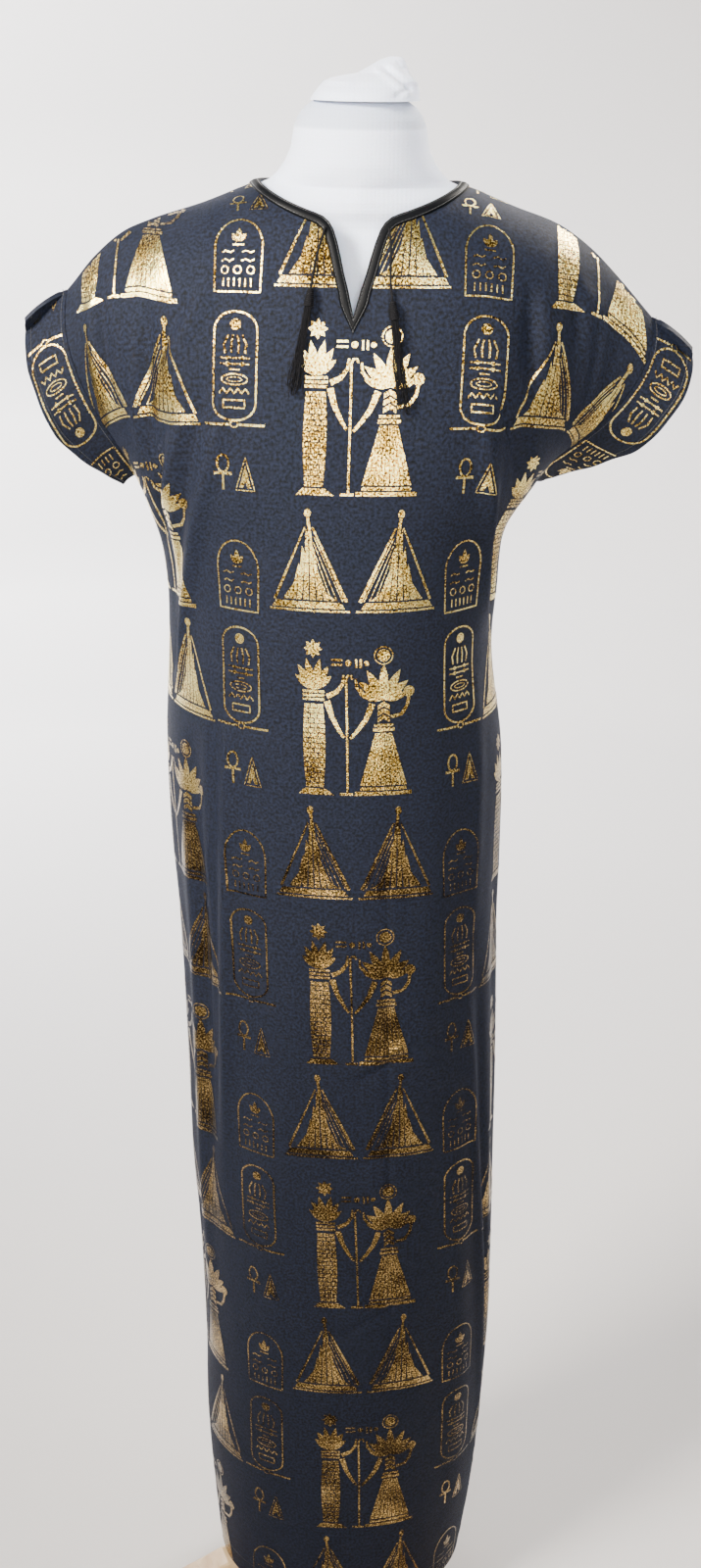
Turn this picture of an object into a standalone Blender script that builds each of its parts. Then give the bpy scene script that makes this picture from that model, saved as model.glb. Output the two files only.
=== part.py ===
"""A long black jalabiya with gold print, worn by a limbless dress form on a wooden tripod.

Metres, +Z up, the wearer faces -Y. The origin is on the floor, in the middle of the whole outline.
Sizes are measured from the middle of the form, and everything is moved to the origin at the end.
The garment is cut flat: u runs across the cloth from the centre front or back, +u to +X, and v runs up it.
The cloth is hung by one function, which turns a place on the flat cut into a place in the room.
"""
import math

import bmesh
import bpy
import numpy as np
from mathutils import Vector

# Cut of the garment, flat
HALF_WIDTH = 0.250            # centre line to side seam
UNDERARM = 1.150              # where the armhole starts
NECK_HALF = 0.080             # centre line to the neck end of the shoulder seam
NECK_POINT = 1.407
SHOULDER_FALL = math.tan(math.radians(20))
NECK_RISE = 0.012             # how far the shoulder line would rise over the neck
FRONT_NECK_DROP = 0.065
BACK_NECK_DROP = 0.047
SLIT_HALF = 0.033             # where the slit's rounded corner joins the neckline
BAND_WIDTH = 0.043            # band sewn to each sleeve end
BAND_UNDER_ARM = 0.016        # what shows of it under the arm, where it is folded up
BAND_FOLDS_UP = 0.5           # share of the armhole, from below, over which it folds up
BAND_START = 0.0006           # the band starts just clear of the edge's thickness
BAND_STEPS = 3                # rings across the band
BAND_LEAST_FORWARD = 0.15     # share of that direction which the band always keeps
BAND_FOLD_WALL = 1.7          # the wall is deeper along the sharp fold
BINDING_WIDTH = 0.008

# Thicknesses and gaps
CLOTH = 0.0015
SEAM = 0.0003                 # between pieces that are sewn together
REST = 0.0005                 # between the cloth and the shoulders that carry it
BINDING = 0.0012

# The slit's edge, from its foot to the corner: distance from the centre line, height on the cut
SLIT = (
    (0.0000, 1.2810),
    (0.0050, 1.2970),
    (0.0085, 1.3065),
    (0.0115, 1.3165),
    (0.0145, 1.3260),
    (0.0180, 1.3350),
    (0.0215, 1.3405),
    (0.0265, 1.3448),
)

# Sections of the hanging cloth, from the hem up. Widths run from the middle plane to either outline.
# Columns: height, left, right, front, back, left_widest, right_widest, back_fold, centre_shift
SECTIONS = (
    (0.050, 0.123, 0.124, 0.102, 0.112, 0.015, 0.010, 0.024, 0.019),
    (0.110, 0.129, 0.132, 0.103, 0.113, 0.018, 0.010, 0.024, 0.019),
    (0.190, 0.135, 0.139, 0.104, 0.113, 0.020, 0.010, 0.023, 0.018),
    (0.300, 0.137, 0.144, 0.105, 0.113, 0.024, 0.010, 0.022, 0.016),
    (0.400, 0.141, 0.145, 0.105, 0.113, 0.028, 0.010, 0.021, 0.014),
    (0.500, 0.148, 0.143, 0.105, 0.113, 0.032, 0.010, 0.019, 0.010),
    (0.600, 0.151, 0.141, 0.105, 0.113, 0.036, 0.010, 0.017, 0.007),
    (0.700, 0.155, 0.138, 0.105, 0.112, 0.040, 0.010, 0.015, 0.004),
    (0.760, 0.158, 0.136, 0.105, 0.111, 0.042, 0.010, 0.014, 0.002),
    (0.820, 0.163, 0.136, 0.105, 0.110, 0.043, 0.010, 0.014, 0.000),
    (0.930, 0.166, 0.133, 0.106, 0.107, 0.042, 0.010, 0.013, -0.003),
    (1.025, 0.162, 0.121, 0.109, 0.104, 0.038, 0.010, 0.011, -0.005),
    (1.075, 0.163, 0.124, 0.111, 0.102, 0.034, 0.010, 0.009, -0.006),
    (1.100, 0.166, 0.125, 0.112, 0.101, 0.030, 0.010, 0.008, -0.006),
    (1.117, 0.170, 0.127, 0.112, 0.100, 0.026, 0.010, 0.006, -0.006),
    (1.135, 0.176, 0.134, 0.112, 0.099, 0.022, 0.010, 0.005, -0.006),
    (1.150, 0.181, 0.144, 0.112, 0.098, 0.018, 0.010, 0.004, -0.006),
)
BACK_FOLDS = 5
ROUNDNESS = 2.1               # power of the section's outline: 2 is an ellipse

# Fold line over the shoulders, from the neck out to the band's edge.
# Columns: u, left_x, left_z, right_x, right_z
RIDGE = (
    (0.000, 0.000, 1.4200, 0.000, 1.4200),
    (0.040, 0.040, 1.4160, 0.040, 1.4160),
    (0.080, 0.080, 1.4040, 0.080, 1.4040),
    (0.125, 0.125, 1.3865, 0.124, 1.3870),
    (0.170, 0.169, 1.3720, 0.168, 1.3695),
    (0.190, 0.188, 1.3640, 0.187, 1.3560),
    (0.222, 0.215, 1.3420, 0.215, 1.3290),
    (0.250, 0.237, 1.3160, 0.241, 1.3010),
    (0.293, 0.270, 1.2880, 0.277, 1.2660),
)

# Way the cloth leaves the fold line, and how far it swings out before it hangs.
# Columns: u, outward, across, downward, swing
LEAVE = (
    (0.000, 0.00, 1.00, 0.00, 0.310),
    (0.080, 0.00, 1.00, 0.00, 0.310),
    (0.150, 0.02, 0.98, 0.15, 0.265),
    (0.190, 0.08, 0.84, 0.55, 0.240),
    (0.250, 0.12, 0.66, 0.75, 0.235),
)
HANG = 0.24                   # how stiffly the cloth holds its fall at the underarm
ARMHOLE_SPREAD = 0.60         # how far the armhole's edges part as they rise from the underarm
ARMHOLE_START = 0.185         # where, across the cut, the parting begins

# Largest folds of the front, as ridges (positive) and troughs. Negative u is the left side.
# Columns: top_u, top_v, bottom_u, bottom_v, half_width, height
FOLDS = (
    (-0.132, 1.300, -0.178, 1.000, 0.016, 0.0045),
    (-0.158, 1.310, -0.200, 0.990, 0.016, -0.0060),
    (0.112, 1.300, 0.140, 1.040, 0.016, 0.0040),
    (0.140, 1.300, 0.165, 1.030, 0.016, -0.0055),
    (-0.128, 0.960, -0.135, 0.480, 0.013, 0.0040),
    (-0.150, 0.960, -0.157, 0.480, 0.013, -0.0075),
    (0.098, 0.640, 0.110, 0.120, 0.016, 0.0035),
    (-0.205, 1.330, -0.222, 1.215, 0.014, 0.0050),
    (0.192, 1.330, 0.218, 1.225, 0.014, 0.0045),
)

# Dress form. Columns: height, half_width, front, back
TORSO = (
    (0.620, 0.070, 0.050, 0.050),
    (0.626, 0.092, 0.065, 0.064),
    (0.644, 0.111, 0.077, 0.076),
    (0.680, 0.122, 0.084, 0.084),
    (0.740, 0.125, 0.086, 0.087),
    (0.800, 0.121, 0.083, 0.084),
    (0.880, 0.109, 0.075, 0.075),
    (0.950, 0.103, 0.070, 0.068),
    (1.020, 0.106, 0.078, 0.069),
    (1.090, 0.112, 0.093, 0.075),
    (1.150, 0.116, 0.099, 0.079),
    (1.210, 0.124, 0.096, 0.081),
    (1.260, 0.137, 0.088, 0.080),
    (1.300, 0.152, 0.079, 0.075),
    (1.330, 0.163, 0.070, 0.068),
    (1.350, 0.168, 0.062, 0.061),
)
# Shoulder of the form, under the fold line; its sections narrow to a ridge.
# Columns: half_width, front, back, power
SHOULDER = (
    (0.160, 0.049, 0.048, 1.75),
    (0.146, 0.050, 0.049, 1.60),
    (0.125, 0.054, 0.052, 1.45),
    (0.105, 0.054, 0.051, 1.45),
    (0.093, 0.052, 0.049, 1.45),
    (0.080, 0.050, 0.047, 1.45),
)
# Columns: height, half_width, front, back, power
NECK = (
    (1.4050, 0.0725, 0.0510, 0.0475, 1.60),
    (1.4110, 0.0660, 0.0525, 0.0490, 1.80),
    (1.4190, 0.0600, 0.0540, 0.0510, 1.90),
    (1.4300, 0.0552, 0.0530, 0.0525, 2.0),
    (1.4450, 0.0530, 0.0515, 0.0515, 2.0),
    (1.4530, 0.0500, 0.0490, 0.0490, 2.0),
    (1.4610, 0.0440, 0.0430, 0.0430, 2.0),
    (1.4655, 0.0370, 0.0360, 0.0360, 2.0),
)
# Knotted end of the form's knit cover. Columns: height, centre_x, centre_y, half_width, half_depth
COVER_END = (
    (1.4658, 0.0000, -0.004, 0.0330, 0.0320),
    (1.4662, 0.0034, -0.007, 0.0435, 0.0390),
    (1.4740, 0.0050, -0.005, 0.0395, 0.0360),
    (1.4800, 0.0065, -0.003, 0.0355, 0.0320),
    (1.4830, 0.0112, -0.001, 0.0292, 0.0280),
    (1.4860, 0.0180, 0.001, 0.0210, 0.0230),
    (1.4920, 0.0220, 0.003, 0.0140, 0.0170),
    (1.4960, 0.0245, 0.004, 0.0095, 0.0110),
    (1.4983, 0.0265, 0.004, 0.0045, 0.0055),
)

FORM_SIDES = 28
COVER_SIDES = 18

# Stand
STAND_BACK = 0.012            # the pole stands behind the form's middle
POLE_RADIUS = 0.0135
POLE_SIDES = 24
HUB_RADIUS = 0.036
HUB_LOW, HUB_HIGH = 0.130, 0.232
HUB_CHAMFER = 0.006
LEG_ANGLES = (200, 320, 80)
LEG_WIDTH = 0.030
LEG_EDGE = 0.004              # radius of the legs' edges
# Outline of a leg, out from the hub along the top, and back under it. Columns: radius, height
LEG_TOP = ((0.0363, 0.205), (0.047, 0.165), (0.055, 0.106), (0.063, 0.066), (0.0715, 0.0475),
           (0.100, 0.0470), (0.125, 0.0460), (0.150, 0.0365), (0.175, 0.0280), (0.210, 0.0235),
           (0.250, 0.0215), (0.272, 0.0205))
LEG_END = ((0.284, 0.016), (0.2865, 0.007), (0.283, 0.000))
LEG_UNDER = ((0.246, 0.000), (0.205, 0.002), (0.160, 0.009), (0.124, 0.020), (0.092, 0.022), (0.066, 0.030),
             (0.054, 0.060), (0.044, 0.104), (0.0363, 0.134))

# From the middle of the form to the middle of the whole outline
ORIGIN_X, ORIGIN_Y = 0.003, 0.057

# Ties at the neck: u and v on the cut of each cord's points, and of the middle of its tassel's foot
CORD_RADIUS = 0.0010
CORD_POINTS = 12
TASSEL_HEAD = 0.014           # height of the wrapped head
TASSEL_HALF = 0.0034          # half its width
TASSEL_NARROWS = 0.55         # how much narrower the head is at the cord
TASSEL_FORWARD = 0.0018       # the head lies off the cord's line, clear of the cloth
TASSEL_ROWS = 4               # strands in a row of the head's square bundle
STRAND_HALF = 0.00045
STRAND_STEPS = 4
STRAND_SPREAD = 2.2           # how much wider the bundle is at its foot
STRAND_LIFT = 0.0050          # middle of the bundle off the cloth
STRAND_UNEVEN = 0.10          # share by which the strands differ in length
TIE_LEFT = {
    "cord": ((-0.0245, 1.3355), (-0.0270, 1.3270), (-0.0300, 1.3170), (-0.0325, 1.3040), (-0.0335, 1.2970)),
    "foot": (-0.0440, 1.2380),
    "phase": 1.0,
}
TIE_RIGHT = {
    "cord": ((0.0248, 1.3355), (0.0264, 1.3270), (0.0272, 1.3170), (0.0278, 1.3000), (0.0296, 1.2900)),
    "foot": (0.0420, 1.2280),
    "phase": 2.2,
}

# Points of the binding: across half of the front neck edge, and how many round the back
NECK_STATIONS = (0.0, 0.0025, 0.0050, 0.0068, 0.0085, 0.0100, 0.0115, 0.0130, 0.0145, 0.0163, 0.0180,
                 0.0198, 0.0215, 0.0240, 0.0265, 0.0297, 0.0330, 0.0375, 0.0420, 0.0500, 0.0580, 0.0655,
                 0.0720, 0.0765, 0.0800)
BACK_NECK_POINTS = 23
SLIT_POINT = 1.25             # depth of the binding's outer edge under the slit's foot, in binding widths

# Grid of a panel
ROWS_ABOVE = 12
FRONT_COLUMNS = (0.0050, 0.0085, 0.0115, 0.0145, 0.0180, 0.0215, 0.0265, 0.0330, 0.0420, 0.0500, 0.0580,
                 0.0655, 0.0720, 0.0765, 0.0800, 0.0930, 0.1080, 0.1240, 0.1400, 0.1560, 0.1720, 0.1880,
                 0.2040, 0.2200, 0.2360)
BACK_STEPS = 19


def clear_scene():
    for item in list(bpy.data.objects):
        bpy.data.objects.remove(item, do_unlink=True)


def material(name, hex_colour, roughness, metallic=0.0):
    """A Principled material with an sRGB colour written as hex."""
    found = bpy.data.materials.get(name)
    if found:
        return found
    made = bpy.data.materials.new(name)
    made.use_nodes = True
    shader = made.node_tree.nodes["Principled BSDF"]
    channels = [int(hex_colour[i:i + 2], 16) / 255 for i in (0, 2, 4)]
    linear = [c / 12.92 if c <= 0.04045 else ((c + 0.055) / 1.055) ** 2.4 for c in channels]
    shader.inputs["Base Color"].default_value = (*linear, 1.0)
    shader.inputs["Roughness"].default_value = roughness
    shader.inputs["Metallic"].default_value = metallic
    return made


def curve_through(table, column, at):
    """Reads one column of a table at any place, on a smooth curve through its rows."""
    x = np.array([row[0] for row in table])
    y = np.array([row[column] for row in table])
    slope = np.gradient(y, x)
    at = np.clip(np.asarray(at, float), x[0], x[-1])
    i = np.clip(np.searchsorted(x, at, side="right") - 1, 0, len(x) - 2)
    step = x[i + 1] - x[i]
    t = (at - x[i]) / step
    return ((1 + 2 * t) * (1 - t) ** 2 * y[i] + t * (1 - t) ** 2 * step * slope[i]
            + t * t * (3 - 2 * t) * y[i + 1] + t * t * (t - 1) * step * slope[i + 1])


def ease(t):
    t = np.clip(t, 0.0, 1.0)
    return t * t * (3 - 2 * t)


def unit(rows):
    return rows / np.linalg.norm(rows, axis=-1, keepdims=True)


def shoulder_line(u):
    """Height of the shoulder seam on the cut; over the neck, the line that the hang is worked out from."""
    s = np.abs(u)
    over_neck = NECK_POINT + NECK_RISE * (1 - np.minimum(s / NECK_HALF, 1.0) ** 2)
    return np.where(s < NECK_HALF, over_neck, NECK_POINT - (s - NECK_HALF) * SHOULDER_FALL)


def neck_edge(u, drop):
    """Height of the neckline on the cut, an arc of an ellipse between the neck ends of the shoulder seams."""
    s = np.minimum(np.abs(u) / NECK_HALF, 1.0)
    return NECK_POINT - drop * np.sqrt(1 - s * s)


def front_top(u):
    """Upper edge of the front: slit, neckline and shoulder."""
    s = np.abs(u)
    corner = SLIT + ((SLIT_HALF, float(neck_edge(SLIT_HALF, FRONT_NECK_DROP))),)
    slit = np.interp(s, [row[0] for row in corner], [row[1] for row in corner])
    neck = neck_edge(u, FRONT_NECK_DROP)
    return np.where(s < SLIT_HALF, slit, np.where(s < NECK_HALF, neck, shoulder_line(u)))


def back_top(u):
    return np.where(np.abs(u) < NECK_HALF, neck_edge(u, BACK_NECK_DROP), shoulder_line(u))


RING_STEPS = 720
TURN = np.linspace(-math.pi, math.pi, RING_STEPS + 1)


def section_loop(height):
    """Horizontal loop of the hanging cloth, from the centre back over the left, the front and the right.

    Returns its points and the length along it, with 0 at the middle of the front.
    """
    left, right, front, back, left_y, right_y, fold = (
        float(curve_through(SECTIONS, column, height)) for column in range(1, 8))
    power = 2 / ROUNDNESS
    sine, cosine = np.sin(TURN), np.cos(TURN)
    ahead = np.sign(cosine) * np.abs(cosine) ** power
    aside = np.sign(sine) * np.abs(sine) ** power
    widest = np.where(TURN > 0, right_y, left_y)
    x = aside * np.where(TURN > 0, right, left)
    y = np.where(cosine > 0, widest - (widest + front) * ahead, widest - (back - widest) * ahead)
    # folds of the back run inward, so the outline stays
    behind = ease((np.abs(TURN) - 0.58 * math.pi) / (0.16 * math.pi))
    wave = 0.5 - 0.5 * np.cos(2 * math.pi * BACK_FOLDS * (np.abs(TURN) - math.pi) / math.pi)
    along = np.stack([np.gradient(x), np.gradient(y)], axis=1)
    along /= np.linalg.norm(along, axis=1, keepdims=True)
    inward = np.stack([-along[:, 1], along[:, 0]], axis=1)
    points = np.stack([x, y], axis=1) + inward * (fold * behind * wave)[:, None]
    length = np.concatenate([[0.0], np.cumsum(np.linalg.norm(np.diff(points, axis=0), axis=1))])
    return points, length - length[RING_STEPS // 2]


def lower_row(side, u, height):
    """Places of a row of the cloth below the underarm."""
    points, length = section_loop(height)
    shift = float(curve_through(SECTIONS, 8, height))
    if side == "front":
        at = shift + u
    else:
        behind = (length[-1] - length[0]) - 2 * HALF_WIDTH
        at = shift + HALF_WIDTH + (HALF_WIDTH - u) * behind / (2 * HALF_WIDTH)
    whole = length[-1] - length[0]
    at = np.where(at > length[-1], at - whole, at)
    x = np.interp(at, length, points[:, 0])
    y = np.interp(at, length, points[:, 1])
    return np.stack([x, y, np.full_like(x, height)], axis=-1)


def ridge(u):
    """Fold line over the shoulders."""
    s = np.abs(u)
    left = np.stack([-curve_through(RIDGE, 1, s), np.zeros_like(s), curve_through(RIDGE, 2, s)], axis=-1)
    right = np.stack([curve_through(RIDGE, 3, s), np.zeros_like(s), curve_through(RIDGE, 4, s)], axis=-1)
    return np.where((u < 0)[..., None], left, right)


def upper_points(side, u, v):
    """Places of cloth between the underarm and the fold line: it swings over the shoulder, then hangs."""
    s = np.abs(u)
    facing = -1.0 if side == "front" else 1.0
    outside = np.where(u < 0, -1.0, 1.0)
    length = shoulder_line(u) - UNDERARM
    t = np.clip((shoulder_line(u) - v) / length, 0.0, 1.0)[:, None]
    start = ridge(u)
    end = lower_row(side, u, UNDERARM)
    below = lower_row(side, u, UNDERARM - 0.004)
    fall = below - end
    fall /= np.linalg.norm(fall, axis=1, keepdims=True)
    part = ease((s - ARMHOLE_START) / (HALF_WIDTH - ARMHOLE_START))
    fall[:, 1] -= facing * ARMHOLE_SPREAD * part
    fall /= np.linalg.norm(fall, axis=1, keepdims=True)
    leave = np.stack([outside * curve_through(LEAVE, 1, s), facing * curve_through(LEAVE, 2, s),
                      -curve_through(LEAVE, 3, s)], axis=-1)
    leave /= np.linalg.norm(leave, axis=1, keepdims=True)
    swing = curve_through(LEAVE, 4, s)[:, None]
    hang = (HANG * length / float(shoulder_line(0.0) - UNDERARM))[:, None]
    return ((1 + 2 * t) * (1 - t) ** 2 * start + t * (1 - t) ** 2 * swing * leave
            + t * t * (3 - 2 * t) * end + t * t * (t - 1) * hang * fall)


def base_points(side, u, v):
    """Places in the room of places on the cut, before folds."""
    shape = u.shape
    u, v = u.ravel(), v.ravel()
    placed = np.empty((len(u), 3))
    above = v > UNDERARM
    if above.any():
        placed[above] = upper_points(side, u[above], v[above])
    for height in np.unique(v[~above]):
        row = v == height
        placed[row] = lower_row(side, u[row], height)
    return placed.reshape(*shape, 3)


def fold_height(side, u, v):
    """How far a fold lifts the cloth."""
    lift = np.zeros_like(u)
    if side == "back":
        return lift
    for top_u, top_v, bottom_u, bottom_v, half_width, height in FOLDS:
        along = np.clip((top_v - v) / (top_v - bottom_v), 0, 1)
        middle = top_u + (bottom_u - top_u) * along
        fade = np.sin(math.pi * along) ** 0.7
        lift += height * fade * np.exp(-((u - middle) / half_width) ** 2)
    return lift


def cloth(side, u, v, above=0.0):
    """Places on the cloth's outer face, or above it, with the face's normals."""
    u, v = np.broadcast_arrays(np.asarray(u, float), np.asarray(v, float))
    small = 0.001
    inside_u = np.clip(u, -HALF_WIDTH + small, HALF_WIDTH - small)
    place = base_points(side, u, v)
    across = base_points(side, inside_u + small, v) - base_points(side, inside_u - small, v)
    up_to = np.minimum(v + small, shoulder_line(u))
    upward = base_points(side, u, up_to) - base_points(side, u, v - small)
    normal = np.cross(across, upward)
    if side == "back":
        normal = -normal
    normal /= np.linalg.norm(normal, axis=-1, keepdims=True)
    lift = fold_height(side, u, v) + above
    return place + normal * lift[..., None], normal


def closed_wall(name, outer, inner, look, ring=False):
    """A wall between two grids of points, closed along its edges, or joined end to end as a ring.

    Each square of the grid is split along its shorter diagonal, the same way on both faces.
    """
    rows, columns = outer.shape[:2]
    mesh = bmesh.new()
    top, under = ([[mesh.verts.new(p) for p in row] for row in sheet] for sheet in (outer, inner))
    last = columns if ring else columns - 1
    for i in range(rows - 1):
        for j in range(last):
            k = (j + 1) % columns
            places = ((i, j), (i, k), (i + 1, k), (i + 1, j))
            a, b, c, d = (outer[place] for place in places)
            turned = np.linalg.norm(b - d) < np.linalg.norm(a - c)
            halves = ((0, 1, 3), (1, 2, 3)) if turned else ((0, 1, 2), (0, 2, 3))
            for half in halves:
                mesh.faces.new([top[places[n][0]][places[n][1]] for n in half])
                mesh.faces.new([under[places[n][0]][places[n][1]] for n in half[::-1]])
    for i in (0, rows - 1):
        for j in range(last):
            k = (j + 1) % columns
            mesh.faces.new((top[i][j], top[i][k], under[i][k]))
            mesh.faces.new((top[i][j], under[i][k], under[i][j]))
    if not ring:
        for j in (0, columns - 1):
            for i in range(rows - 1):
                mesh.faces.new((top[i][j], top[i + 1][j], under[i + 1][j]))
                mesh.faces.new((top[i][j], under[i + 1][j], under[i][j]))
    return finish(name, mesh, look)


def finish(name, mesh, look, smooth=True):
    """Turns a bmesh into a named object with its faces pointing out."""
    bmesh.ops.recalc_face_normals(mesh, faces=mesh.faces)
    data = bpy.data.meshes.new(name)
    mesh.to_mesh(data)
    mesh.free()
    data.materials.append(look)
    if smooth:
        data.shade_smooth()
        data.set_sharp_from_angle(angle=math.radians(40))
    item = bpy.data.objects.new(name, data)
    bpy.context.scene.collection.objects.link(item)
    return item


def panel(name, side, columns, top, look):
    """Front or back, cut in one with its sleeves: a grid that ends on its edges, hung and given a wall."""
    below = np.array([row[0] for row in SECTIONS])
    u = np.repeat(columns[None, :], len(below) + ROWS_ABOVE, axis=0)
    edge = top(columns) - 0.8 * SEAM * (np.abs(columns) >= NECK_HALF)
    share = np.linspace(0, 1, ROWS_ABOVE + 1)[1:, None]
    above = UNDERARM + (edge[None, :] - UNDERARM) * share
    v = np.concatenate([np.repeat(below[:, None], len(columns), axis=1), above])
    outer, normal = cloth(side, u, v)
    inner = outer - normal * CLOTH
    # along the shoulder seam the inner face is cut back, so front and back meet on the middle plane
    down = outer[-2] - outer[-1]
    slide = normal[-1, :, 1] * CLOTH / down[:, 1]
    inner[-1] += down * (slide * (np.abs(columns) >= NECK_HALF))[:, None]
    closed_wall(name, outer, inner, look)


def make_panels(look):
    edge = HALF_WIDTH - SEAM / 2
    half = np.array(FRONT_COLUMNS + (edge,))
    panel("front_panel", "front", np.concatenate([-half[::-1], [0.0], half]), front_top, look)
    panel("back_panel", "back", np.linspace(-edge, edge, 2 * BACK_STEPS + 1), back_top, look)


def make_band(name, sign, tip_way, underarm_way, look):
    """Band sewn to a sleeve end: a ring that carries on past the armhole's edge.

    Near the shoulder it leaves the edge in the cloth's own direction. Lower down, where the cloth
    turns round the body, it creases at the seam and goes the way that it hangs.
    """
    share = np.linspace(1, 1 / ROWS_ABOVE, ROWS_ABOVE)[:, None]
    hangs = unit(share * tip_way + (1 - share) * underarm_way)
    v = UNDERARM + (float(shoulder_line(HALF_WIDTH)) - UNDERARM) * share[:, 0]
    edges, leaves = [], []
    for side, column in (("front", FRONT_COLUMNS[-1]), ("back", HALF_WIDTH * (1 - 1 / BACK_STEPS))):
        edge, _ = cloth(side, np.full_like(v, sign * HALF_WIDTH), v)
        before, _ = cloth(side, np.full_like(v, sign * column), v)
        down = unit(np.gradient(edge, axis=0))
        ahead = edge - before
        ahead = unit(ahead - down * np.sum(ahead * down, axis=1, keepdims=True))
        normal = np.cross(down, ahead) * (sign if side == "front" else -sign)
        forward = np.maximum(np.sum(hangs * ahead, axis=1, keepdims=True), BAND_LEAST_FORWARD)
        out = np.maximum(np.sum(hangs * normal, axis=1, keepdims=True), 0.0)
        edges.append(edge)
        leaves.append(unit(ahead * forward + normal * out))
    # the ring starts at the fold line, runs down the front and comes up the back
    edge = np.concatenate([edges[0], edges[1][:0:-1]])
    leaves = np.concatenate([leaves[0], leaves[1][:0:-1]])
    leaves[0] = unit(leaves[0] * (1, 0, 1))
    hangs = np.concatenate([hangs, hangs[:0:-1]])
    shown = BAND_UNDER_ARM + (BAND_WIDTH - BAND_UNDER_ARM) * ease(share / BAND_FOLDS_UP)
    width = np.concatenate([shown, shown[:0:-1]])
    rows = [edge + leaves * BAND_START]
    for step in range(BAND_STEPS):
        turned = (step + 0.5) / BAND_STEPS
        way = unit((1 - turned) * leaves + turned * hangs)
        rows.append(rows[-1] + way * width / BAND_STEPS)
    outer = np.stack(rows)
    around = np.roll(outer, -1, axis=1) - np.roll(outer, 1, axis=1)
    along = np.gradient(outer, axis=0)
    outward = unit(np.cross(around, along) * sign)
    # the first ring's wall stands square to the way it leaves, so it stays clear of the panel's edge
    outward[0] -= leaves * np.sum(outward[0] * leaves, axis=1, keepdims=True)
    outward[0] = unit(outward[0])
    wall = np.full(len(edge), CLOTH)
    wall[0] = CLOTH * BAND_FOLD_WALL
    closed_wall(name, outer, outer - outward * wall[None, :, None], look, ring=True)


def neck_path(inset):
    """Places on the cut along the neck edge, moved into the cloth by an inset: right, behind and left.

    They start at the foot of the slit and run up the right side, round the back and down the left.
    """
    right = np.array([(u, float(front_top(u))) for u in NECK_STATIONS])
    way = unit(np.gradient(right, axis=0))
    into = np.stack([way[:, 1], -way[:, 0]], axis=1)
    into[-1] = (1.0, -SHOULDER_FALL)
    right = right + into * inset
    # at the slit's foot the two sides meet in a point, which lies lower
    right[0] = (0.0, float(front_top(0.0)) - SLIT_POINT * inset)
    turn = np.linspace(0, math.pi, BACK_NECK_POINTS + 2)[1:-1]
    cosine, sine = np.cos(turn), np.sin(turn)
    behind = np.stack([NECK_HALF * cosine, NECK_POINT - BACK_NECK_DROP * sine], axis=1)
    behind += unit(np.stack([cosine / NECK_HALF, -sine / BACK_NECK_DROP], axis=1)) * inset
    left = right[:0:-1] * (-1.0, 1.0)
    return right, behind, left


def make_binding(look):
    """Bias strip round the neck and down both sides of the slit, lying on the panels' edges."""
    faces = []
    for height in (SEAM + BINDING, SEAM):
        lines = []
        for inset in (0.0, BINDING_WIDTH / 2, BINDING_WIDTH):
            stretches = zip(("front", "back", "front"), neck_path(inset))
            placed = [cloth(side, line[:, 0], line[:, 1], height)[0] for side, line in stretches]
            lines.append(np.concatenate(placed))
        faces.append(np.stack(lines))
    closed_wall("neck_binding", *faces, look, ring=True)


def loft(name, rings, look):
    """A closed body through rings of points, capped at both ends."""
    mesh = bmesh.new()
    loops = []
    for ring in rings:
        verts = [mesh.verts.new(p) for p in ring]
        loops.append([mesh.edges.new((verts[i], verts[(i + 1) % len(verts)])) for i in range(len(verts))])
        if ring is rings[0] or ring is rings[-1]:
            mesh.faces.new(verts)
    for low, high in zip(loops[:-1], loops[1:]):
        bmesh.ops.bridge_loops(mesh, edges=low + high)
    bmesh.ops.triangulate(mesh, faces=mesh.faces)
    return finish(name, mesh, look)


def oval(height, half_width, front, back, count, centre=(0.0, 0.0), power=2.0):
    turn = np.linspace(0, 2 * math.pi, count, endpoint=False)
    sine, cosine = np.sin(turn), np.cos(turn)
    x = centre[0] + half_width * np.sign(sine) * np.abs(sine) ** (2 / power)
    depth = np.where(cosine > 0, front, back)
    y = centre[1] - depth * np.sign(cosine) * np.abs(cosine) ** (2 / power)
    return [(a, b, height) for a, b in zip(x, y)]


def shoulder_height(half_width):
    """Height of the form's shoulder, which carries the cloth's fold line."""
    lower = min(float(np.interp(half_width, [r[1] for r in RIDGE], [r[2] for r in RIDGE])),
                float(np.interp(half_width, [r[3] for r in RIDGE], [r[4] for r in RIDGE])))
    return lower - CLOTH - REST


def make_form(knit):
    rings = [oval(z, w, f, b, FORM_SIDES) for z, w, f, b in TORSO]
    rings += [oval(shoulder_height(w), w, f, b, FORM_SIDES, power=p) for w, f, b, p in SHOULDER]
    rings += [oval(z, w, f, b, FORM_SIDES, power=p) for z, w, f, b, p in NECK]
    loft("form_torso", rings, knit)
    rings = [oval(z, w, d, d, COVER_SIDES, (x, y)) for z, x, y, w, d in COVER_END]
    loft("form_cover_end", rings, knit)


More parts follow.
